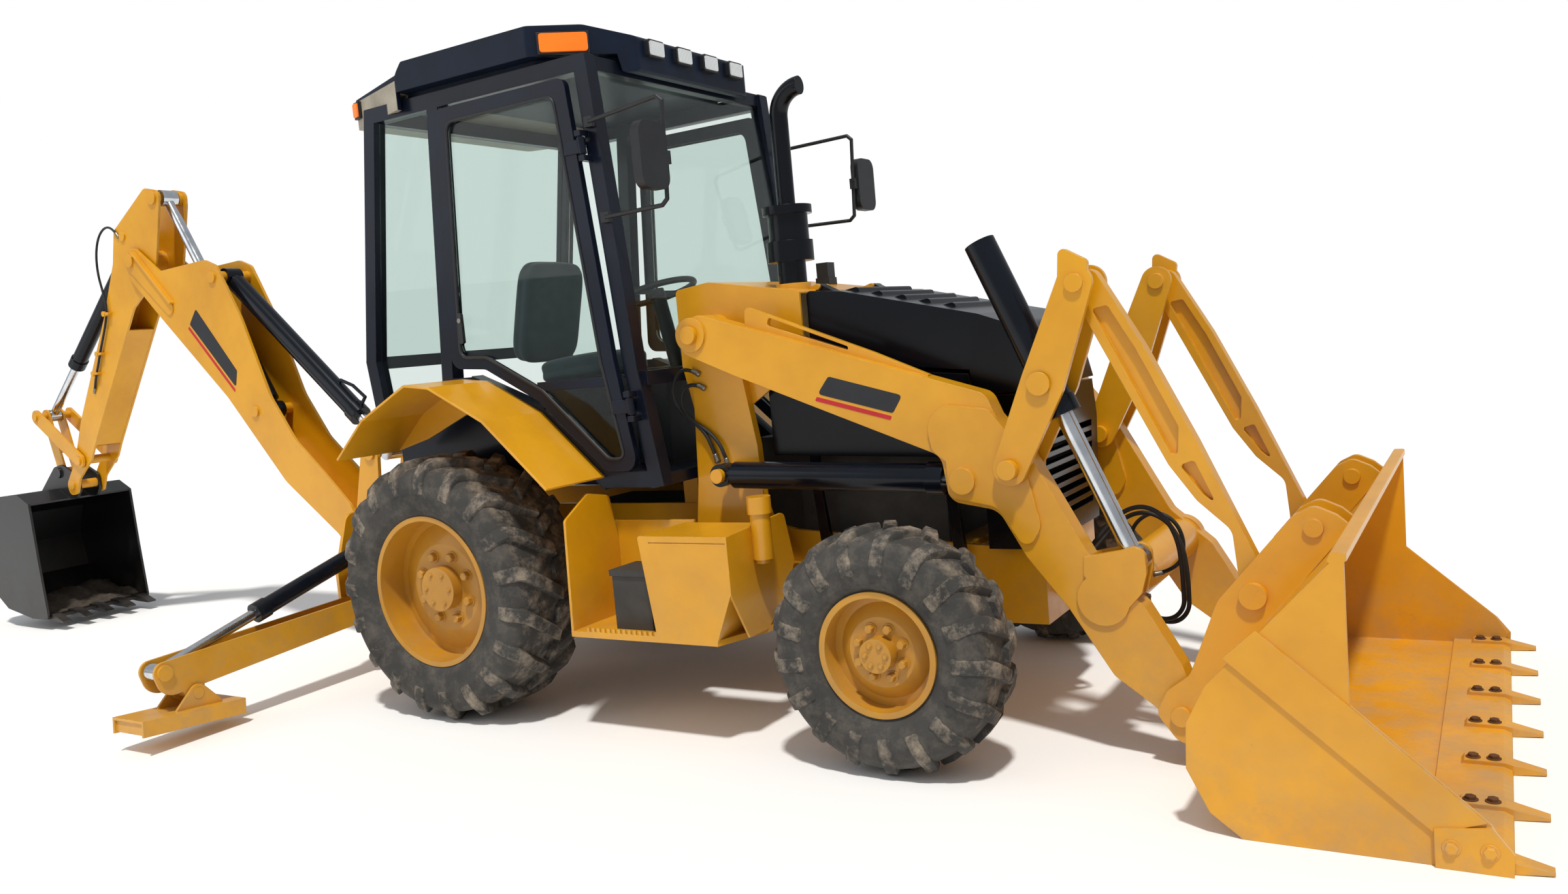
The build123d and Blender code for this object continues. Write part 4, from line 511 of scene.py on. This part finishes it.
def tyre(name, node, body, middle, side, radius, width, rim_r, lugs, lug_h, lug_t, slant):
    """Tyre with a turned carcass, ringed side walls and staggered bars with soft edges.
    Sizes are in mm, slant in degrees."""
    half, crown = width / 2, radius - lug_h
    bead = half - (34 if radius > 500 else 40)
    wall = crown - rim_r
    # (y, r) from the bead up the ringed wall, where y is counted from the widest place and
    # r is a part of the wall's height, then over the shoulder to the tread's middle.
    profile = [(bead - 10, rim_r - 12), (bead, rim_r + 2), (bead + 8, rim_r + 14)]
    profile += [(half + y, rim_r + wall * k) for y, k in (
        (-16, 0.14), (-13, 0.17), (-13, 0.20), (-5, 0.32), (-1, 0.44), (1, 0.47), (1, 0.52),
        (-1, 0.55), (-5, 0.68), (-14, 0.80), (-30, 0.90))]
    profile += [(half - 62, crown - 9), (half - 110, crown - 2),
                (half - 170 if half > 180 else 20, crown + 1)]
    profile += [(-y, r) for y, r in reversed(profile)]

    def spin(a, y, r):
        return middle + Vector((r * sin(a), side * y, r * cos(a))) * MM

    verts, faces = loft([[spin(2 * pi * k / TURNS, y, r) for k in range(TURNS)]
                         for y, r in profile], caps=False)
    last = (len(profile) - 1) * TURNS
    for k in range(TURNS):
        after = (k + 1) % TURNS
        faces.append((k, last + k, last + after, after))
    tread = [1.0 if r > crown - 12 else 0.1 for _, r in profile for _ in range(TURNS)]

    # A bar's top edge and its root, from the tread's middle out and down the shoulder.
    top = [(-16, radius)] + [(half + y, radius - d) for y, d in (
        (-110, 0), (-70, 4), (-34, 26), (-10, 62), (4, 104), (3, 150), (-12, 164))]
    root = [(-10, crown - 20)] + [(half - y, crown - d) for y, d in (
        (112, 24), (82, 34), (60, 50), (48, 66), (40, 96), (36, 118), (34, 124))]
    mid = (half + 20) / 2 - 14
    lean = tan(radians(slant))
    t = lug_t * 0.92
    for s in (-1, 1):
        for i in range(lugs):
            turn = 2 * pi / lugs * (i + (0.5 if s > 0 else 0.0))
            rings = []
            for (y, r), (y0, r0) in zip(top, root):
                a = turn - lean * (min(y, half - 30) - mid) / radius
                near = (y + (y0 - y) * 0.16, r + (r0 - r) * 0.16)
                ring = [(-FLANK, (y0, r0)), (-0.50, near), (-0.40, (y, r)), (0.40, (y, r)),
                        (0.50, near), (FLANK, (y0, r0))]
                rings.append([spin(a + g * t / pr, s * py, pr) for g, (py, pr) in ring])
            v, f = loft(rings)
            k = len(verts)
            verts += v
            faces += [tuple(j + k for j in q) for q in f]
            tread += [(0.3, 0.8, 1.3, 1.3, 0.8, 0.3)[m % 6] for m in range(len(v))]
    mesh = bpy.data.meshes.new(name)
    mesh.from_pydata([tuple(v) for v in verts], [], faces)
    mesh.attributes.new("tread", "FLOAT", "POINT").data.foreach_set("value", tread)
    bm = bmesh.new()
    bm.from_mesh(mesh)
    bmesh.ops.recalc_face_normals(bm, faces=bm.faces)
    bm.to_mesh(mesh)
    bm.free()
    mesh.materials.append(tyre_mat)
    o = bpy.data.objects.new(name, mesh)
    scene.collection.objects.link(o)
    mesh.shade_smooth()
    o.modifiers.new("edges", "EDGE_SPLIT").split_angle = radians(38)
    mesh = bake(o, name)
    o.modifiers.clear()
    o.data = mesh
    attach(o, body)
    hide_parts(node)


# Sizes in mm. Track is half of it; face is how far the rim's nut face lies outside it.
WHEELS = {
    "rear": dict(
        track=850.0, nut_ring=150.0, nut=21.5, face=98.0, screw_ring=72.0,
        tyre=dict(radius=600.0, width=460.0, rim_r=343.0, lugs=19, lug_h=34.0, lug_t=70.0,
                  slant=32.0)),
    "front": dict(
        track=930.0, nut_ring=92.0, nut=16.5, face=77.0, screw_ring=40.0,
        tyre=dict(radius=450.0, width=310.0, rim_r=228.0, lugs=17, lug_h=24.0, lug_t=62.0,
                  slant=26.0)),
}
NUTS, SCREWS = 8, 6                  # on each wheel, and on each hub
HUB_OUT = 55.0                       # how far the hub's end stands out of the rim's face


def wheel_middle(end, tag, side, out=0.0):
    """The wheel's middle, or a point of its axle that much further out."""
    lo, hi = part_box(f"{end}_tyre_{tag}")
    return Vector(((lo.x + hi.x) / 2, side * (WHEELS[end]["track"] + out) * MM,
                   (lo.z + hi.z) / 2))


for end, w in WHEELS.items():
    for tag, side in SIDES:
        tyre(f"{end}_tyre_dressed_{tag}", f"{end}_tyre_{tag}", f"{end}_wheel_{tag}",
             wheel_middle(end, tag, side), side, **w["tyre"])

# Wheel nuts, each over the plain one of the rim, and cap screws on the hub's end.
for end, w in WHEELS.items():
    for tag, side in SIDES:
        for kind, unit, count, r, out, start in (
                ("wheel_nuts", hexagon_bolt(w["nut"] * MM, 0.027), NUTS, w["nut_ring"],
                 w["face"], pi / NUTS),
                ("hub_screws", hexagon_bolt(0.009, 0.008), SCREWS, w["screw_ring"],
                 w["face"] + HUB_OUT, 0.0)):
            middle = wheel_middle(end, tag, side, out)
            places = [(middle + Vector((p.x, 0, p.y)), Vector((0, side, 0)))
                      for p in around(count, r * MM, start)]
            repeat(f"{end}_{kind}_{tag}", unit, places, rim_yellow, f"{end}_wheel_{tag}",
                   "yellow_paint")

# ------------------------------------------------------------------ cutting edge's bolts
TEETH, TOOTH_STEP = 7, 368.0
TOOTH_BOLT_Z = 39.0                  # top of a tooth's shank
CUTTER_Y = 1158.0                    # outer face of a side cutter
places = [(at(x, TOOTH_STEP * (i - (TEETH - 1) / 2), TOOTH_BOLT_Z), UP)
          for i in range(TEETH) for x in (4000, 4058)]
repeat("tooth_bolts", hexagon_bolt(0.016, 0.013), places, rusty, "loader_bucket",
       "yellow_paint")
places = [(at(x, s * CUTTER_Y, 62), Vector((0, s, 0))) for s in (-1, 1) for x in (3965, 4055)]
repeat("side_cutter_bolts", hexagon_bolt(0.017, 0.012), places, bucket_yellow,
       "loader_bucket", "yellow_paint")

# ------------------------------------------------------------------ hoses
SKEW = Vector((0.31, 0.93, 0.19))    # lies along no tube, so a ring can start square to it
TUBE_SIDES = 12
# A crimped fitting's profile: metres from the hose's end, and times the hose's radius.
FITTING = ((-0.002, 1.0), (0.0, 1.55), (0.012, 1.55), (0.014, 1.32), (0.034, 1.32),
           (0.036, 1.12), (0.040, 1.05))


def ring(middle, along, side, r):
    """Ring of points round a line, its first point toward side."""
    up = along.cross(side)
    return [middle + side * p.x + up * p.y for p in around(TUBE_SIDES, r)]


def closed_tube(name, path, r, mat, body, slot):
    """Bead of radius r along a closed path, with no twist between neighbours."""
    side = (path[1] - path[-1]).cross(SKEW)
    rings = []
    for i, p in enumerate(path):
        along = (path[(i + 1) % len(path)] - path[i - 1]).normalized()
        side = (side - along * side.dot(along)).normalized()
        rings.append(ring(p, along, side, r))
    return piece(name, *loft(rings + rings[:1], caps=False), mat, body, slot)


def hose(name, points, body, diameter):
    """Hydraulic hose along one smooth spline, with a crimped fitting at each end."""
    data = bpy.data.curves.new(name, "CURVE")
    data.dimensions = "3D"
    sp = data.splines.new("NURBS")
    sp.points.add(len(points) - 1)
    for q, p in zip(sp.points, points):
        q.co = (*at(*p), 1)
    sp.order_u = 3
    sp.use_endpoint_u = True
    data.bevel_depth = diameter / 2
    data.bevel_resolution = 3
    data.use_fill_caps = True
    data.materials.append(rubber)
    o = bpy.data.objects.new(name, data)
    scene.collection.objects.link(o)
    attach(o, body)
    for tag, tip, inner in (("start", points[0], points[1]), ("end", points[-1], points[-2])):
        tip = at(*tip)
        along = (at(*inner) - tip).normalized()
        side = along.cross(SKEW).normalized()
        rings = [ring(tip + along * d, along, side, diameter / 2 * k) for d, k in FITTING]
        piece(f"{name}_{tag}_fitting", *loft(rings), steel, body, "chrome_rod")


# Name, body, diameter and length in metres, then the route in millimetres from the rear
# axle: x forward, y to the left, z up.
HOSES = [
    ("arm_hose_1", "arms", 0.017, 0.95,
     [(2800, -520, 700), (2806, -468, 708), (2856, -438, 770), (2920, -412, 846),
      (3000, -398, 874), (3074, -392, 836), (3116, -388, 750), (3125, -385, 650),
      (3125, -382, 560), (3124, -380, 498), (3082, -378, 452), (3020, -376, 452),
      (2979, -374, 492), (2978, -372, 532)]),
    ("arm_hose_2", "arms", 0.017, 1.03,
     [(2770, -520, 640), (2776, -455, 650), (2836, -402, 730), (2906, -356, 812),
      (2986, -332, 842), (3066, -320, 806), (3114, -314, 716), (3126, -312, 610),
      (3126, -311, 530), (3124, -310, 470), (3082, -309, 424), (3020, -309, 424),
      (2979, -309, 464), (2976, -309, 524)]),
    ("arm_hose_3", "arms", 0.015, 0.57,
     [(2904, -250, 658), (2906, -252, 724), (2944, -262, 796), (3020, -270, 830),
      (3090, -266, 786), (3112, -258, 694), (3072, -250, 604), (2987, -246, 586)]),
    ("frame_hose_1", "chassis", 0.017, 0.59,
     [(1184, -484, 1462), (1150, -498, 1484), (1096, -499, 1488), (1050, -499, 1442),
      (1040, -499, 1372), (1074, -499, 1306), (1136, -499, 1262), (1196, -499, 1210),
      (1226, -498, 1140), (1236, -484, 1080)]),
    ("frame_hose_2", "chassis", 0.017, 0.54,
     [(1206, -484, 1400), (1172, -498, 1420), (1118, -499, 1418), (1082, -499, 1372),
      (1092, -499, 1306), (1146, -499, 1256), (1212, -499, 1216), (1262, -499, 1164),
      (1284, -498, 1110), (1290, -484, 1062)]),
    ("stick_hose", "stick", 0.015, 1.39,
     [(-3650, -100, 2640), (-3676, -114, 2700), (-3766, -114, 2728), (-3862, -114, 2676),
      (-3920, -114, 2566), (-3930, -114, 2430), (-3900, -114, 2310), (-3876, -114, 2200),
      (-3926, -114, 2080), (-4020, -114, 1930), (-4092, -114, 1800), (-4150, -114, 1700),
      (-4190, -100, 1640)]),
]
for name, body, diameter, length, route in HOSES:
    hose(name, route, body, diameter)

# ------------------------------------------------------------------ cab dressing
# The door opening's outline, (x, z), where the window's rubber gasket runs.
OPENING = [(122, 2680), (758, 2680), (872, 1555), (950, 1140), (865, 1140), (530, 1450),
           (215, 1617), (52, 1628)]
GASKET_Y, GASKET_R = 755.5, 0.0075
PULL_X, PULL_Z, LOCK_Z = 84.0, 1760.0, 1795.0
DOOR_FACE, PULL_FACE = 756.0, 772.0
for tag, s in SIDES:
    door = f"door_{tag}"
    path = [at(p.x, s * GASKET_Y, p.y) for p in rounded(OPENING, 52, 6)]
    closed_tube(f"window_gasket_{tag}", path, GASKET_R, abs_black, door, "black_plastic")
    tile(f"door_pull_{tag}", rounded(oblong(70, 13), 12, 4),
         lambda u, v, h: at(PULL_X + v, s * (DOOR_FACE + h / MM), PULL_Z + u), abs_black,
         door, "black_plastic", 0.016, 0.005)
    tile(f"door_lock_{tag}", around(20, 11),
         lambda u, v, h: at(PULL_X + v, s * (PULL_FACE + h / MM), LOCK_Z + u), steel,
         door, "chrome_rod", 0.003, 0.001)

LAMP_FACE, LAMP_Z = 1002.3, 2892.0
for i, y in enumerate((-318, -106, 106, 318)):
    tile(f"roof_lamp_lens_{i}", rounded(oblong(50, 30), 9, 4),
         lambda u, v, h: at(LAMP_FACE + h / MM, y + u, LAMP_Z + v), clear, "chassis",
         "black_plastic", 0.006, 0.002)

# Lenses on slanted faces of the roof: where, degrees that the face turns forward, half
# sizes, corner radius and its steps, then metres out of the face, thickness and bevel.
AMBER = [("beacon_lens", (757.5, 652.5, 2910), 44.19, (102, 38), 14, 5, 0.0243, 0.014, 0.006),
         ("tail_lens", (-590, 617, 2870), -18.61, (24, 32), 8, 4, 0.0163, 0.008, 0.003)]
MIRROR_FACE, MIRROR_Y, MIRROR_Z = 1322.7, 902.0, 2330.0
for tag, s in SIDES:
    for name, (x, y, z), degrees, half, corner, steps, stand, thick, bevel in AMBER:
        a = radians(degrees)
        out, along = Vector((sin(a), s * cos(a), 0)), Vector((cos(a), -s * sin(a), 0))
        middle = at(x, s * y, z)
        tile(f"{name}_{tag}", rounded(oblong(*half), corner, steps),
             lambda u, v, h: middle + (along * u + UP * v) * MM + out * (stand + h), amber,
             "chassis", "black_plastic", thick, bevel)
    tile(f"mirror_glass_{tag}", rounded(oblong(78, 118), 44, 6),
         lambda u, v, h: at(MIRROR_FACE - h / MM, s * MIRROR_Y + u, MIRROR_Z + v), mirror,
         "chassis", "black_plastic", 0.002, 0.0008)

# ------------------------------------------------------------------ film panels
# Plain dark panels with a red edge: name, body, the plate's face, then each film's
# corners, (x, z).
FILM_GAP = 0.15                      # mm of adhesive under a film
PANELS = [("arm", 610.0, "arms", [(1826, 1354), (1880, 1420), (2190, 1330), (2146, 1264)],
           [(1822, 1343), (2141, 1253), (2133, 1238), (1812, 1328)]),
          ("boom", 130.0, "boom", [(-2950, 2010), (-2868, 2100), (-2530, 1690), (-2560, 1590)],
           [(-2960, 1998), (-2570, 1578), (-2576, 1558), (-2972, 1984)])]
for name, y, body, dark, red in PANELS:
    for tag, s in SIDES:
        for kind, outline, corner, mat in (("panel", dark, 14, dark_film),
                                           ("stripe", red, 5, red_film)):
            tile(f"{name}_{kind}_{tag}", rounded(outline, corner, 4),
                 lambda u, v, h: at(u, s * (y + FILM_GAP + h / MM), v), mat, body,
                 "black_plastic", 0.0012, 0.0004)

# Cap of the tilt cylinder's trunnion, on the right lever's outer face.
TRUNNION, TRUNNION_END = (2742.0, 1346.0), 667.2
tile("trunnion_cap", around(32, 42),
     lambda u, v, h: at(TRUNNION[0] + u, -(TRUNNION_END + h / MM), TRUNNION[1] + v), yellow,
     "tilt_barrel", "yellow_paint", 0.008, 0.003)

# ------------------------------------------------------------------ seat
PAD_CUTS = 26                        # cuts along each edge of a pad
CHANNELS, CHANNEL_W, CHANNEL_DEEP = (-0.5, 0.5), 0.035, 0.16    # as parts of a half size


def cushion(name, half, crown, place):
    """Crowned closed pad: its sides pull in between its corners, and two sewn channels
    run along its face. half is its half length, width and thickness in mm."""
    bm = bmesh.new()
    bmesh.ops.create_cube(bm, size=2.0)
    bmesh.ops.subdivide_edges(bm, edges=bm.edges[:], cuts=PAD_CUTS, use_grid_fill=True)
    bm.verts.ensure_lookup_table()
    verts = []
    for v in bm.verts:
        # Drawn in to a rounded box, fuller in its outline than in its thickness.
        k = max((abs(v.co.x) ** 6 + abs(v.co.y) ** 6 + abs(v.co.z) ** 4) ** (1 / 5.2), 0.5)
        x, y, z = v.co / k
        pull = 1 - 0.035 * (1 - min(1, abs(z)))
        lift = crown * (1 - x * x) * (1 - y * y) if z > 0 else 0.0
        if z > 0.3:
            lift -= sum(CHANNEL_DEEP * exp(-((y - c) / CHANNEL_W) ** 2) for c in CHANNELS)
        verts.append(place(Vector((x * pull * half[0], y * pull * half[1],
                                   (z + lift) * half[2]))))
    faces = [tuple(v.index for v in f.verts) for f in bm.faces]
    bm.free()
    o = piece(name, verts, faces, weave, "chassis", "seat_fabric")
    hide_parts("seat")


def tilted(middle, lean):
    """Place of a pad whose face leans back by lean degrees from flat."""
    turn = Matrix.Rotation(radians(-lean), 3, "Y")
    return lambda p: at(*middle) + turn @ (p * MM)


cushion("seat_cushion", (212, 226, 58), 0.18, tilted((204, 0, 1531), 4))
cushion("seat_back", (262, 216, 56), 0.16, tilted((-66, 0, 1828), 76))

# ------------------------------------------------------------------ soil in the bucket
SOIL_X, SOIL_LONG, SOIL_HALF = -5290, 510, 350     # its back edge, length and half width
SOIL_CELLS = (26, 30)
SOIL_H, SOIL_T = 52, 12                            # height over the floor, and underside


def soil_heap():
    """Heap of clay on the digging bucket's floor, in humps of 20 to 40 cm."""
    nx, ny = SOIL_CELLS
    top = []
    for i in range(nx + 1):
        x = SOIL_X + SOIL_LONG * i / nx
        # The bucket's floor slopes down to a flat part.
        floor = 190 - (x - SOIL_X) * 0.2 if x < -4900 else 106
        edge = min(1.0, i / 4, (nx - i) / 5)
        for j in range(ny + 1):
            y = SOIL_HALF * (2 * j / ny - 1)
            h = SOIL_H * edge * (0.55 + 0.3 * sin(x * 0.017 + y * 0.006)
                                 + 0.25 * sin(y * 0.031 - x * 0.011)
                                 + 0.1 * sin(y * 0.09 + x * 0.07))
            top.append(at(x, y, floor - 2 + max(h, 0)))
    verts = top + [p - UP * SOIL_T * MM for p in top]
    w, under = ny + 1, len(top)
    faces = []
    for i in range(nx):
        for j in range(ny):
            a = i * w + j
            cell = (a, a + 1, a + w + 1, a + w)
            faces += [cell, tuple(under + k for k in reversed(cell))]
    rim = list(range(ny)) + [i * w + ny for i in range(nx)]
    rim += [nx * w + j for j in range(ny, 0, -1)] + [i * w for i in range(nx, 0, -1)]
    for a, b in zip(rim, rim[1:] + rim[:1]):
        faces.append((a, b, under + b, under + a))
    piece("soil_heap", verts, faces, soil, "dig_bucket", "dark_bucket_paint")


soil_heap()

# ------------------------------------------------------------------ stage
FLOOR_HALF = 60.0
mesh = bpy.data.meshes.new("floor")
mesh.from_pydata([(x, y, 0) for x, y in oblong(FLOOR_HALF, FLOOR_HALF)], [], [(0, 1, 2, 3)])
mesh.materials.append(material("pale_floor", Roughness=0.95, Base_Color=linear("F6F6F6"))[0])
floor = bpy.data.objects.new("floor", mesh)
scene.collection.objects.link(floor)


def make_world():
    """Even studio light, and white behind the object and through its glass."""
    world = bpy.data.worlds.new("studio")
    scene.world = world
    world.use_nodes = True
    t = world.node_tree
    t.nodes.clear()
    path = add(t, "ShaderNodeLightPath", {}).outputs
    seen = add(t, MATH, {0: path["Is Camera Ray"], 1: path["Is Transmission Ray"]},
               operation="MAXIMUM").outputs[0]
    light = add(t, "ShaderNodeBackground", {"Color": linear("EDF1F6"), "Strength": 0.5})
    white = add(t, "ShaderNodeBackground", {"Color": linear("FFFFFF"), "Strength": 1.0})
    both = add(t, "ShaderNodeMixShader", {0: seen, 1: light.outputs[0], 2: white.outputs[0]})
    add(t, "ShaderNodeOutputWorld", {"Surface": both.outputs[0]})


def lamp(name, kind, energy, place, target, tint, **settings):
    data = bpy.data.lights.new(name, kind)
    data.energy = energy
    data.color = linear(tint)[:3]
    for k, v in settings.items():
        setattr(data, k, v)
    o = bpy.data.objects.new(name, data)
    scene.collection.objects.link(o)
    o.location = place
    o.rotation_euler = (Vector(target) - Vector(place)).to_track_quat("-Z", "Y").to_euler()


make_world()
lamp("sun", "SUN", 2.6, (2.2, -3.4, 9.0), (0, 0, 0), "FFFBF4", angle=radians(4))
lamp("fill", "AREA", 160, (-7.0, -9.0, 6.0), (-1, 0, 1), "FFFFFF", size=7.0)

# ------------------------------------------------------------------ camera
CAM_AT = (4.7922, -4.6727, 1.5796)
CAM_TURN, CAM_PITCH, CAM_ROLL = radians(31.77), radians(4.96), radians(-5.18)


def make_camera():
    """Camera in front of the right side, a little rolled."""
    data = bpy.data.cameras.new("camera")
    data.sensor_width = 36.0
    data.lens = 27.3
    data.shift_x, data.shift_y = 0.0048, -0.0022
    data.clip_end = 200
    cam = bpy.data.objects.new("camera", data)
    scene.collection.objects.link(cam)
    back = Vector((sin(CAM_TURN) * cos(CAM_PITCH), -cos(CAM_TURN) * cos(CAM_PITCH),
                   sin(CAM_PITCH)))
    right = UP.cross(back).normalized()
    up = back.cross(right)
    c, s = cos(CAM_ROLL), sin(CAM_ROLL)
    m = Matrix((right * c + up * s, up * c - right * s, back)).transposed().to_4x4()
    m.translation = Vector(CAM_AT)
    cam.matrix_world = m
    scene.camera = cam


make_camera()
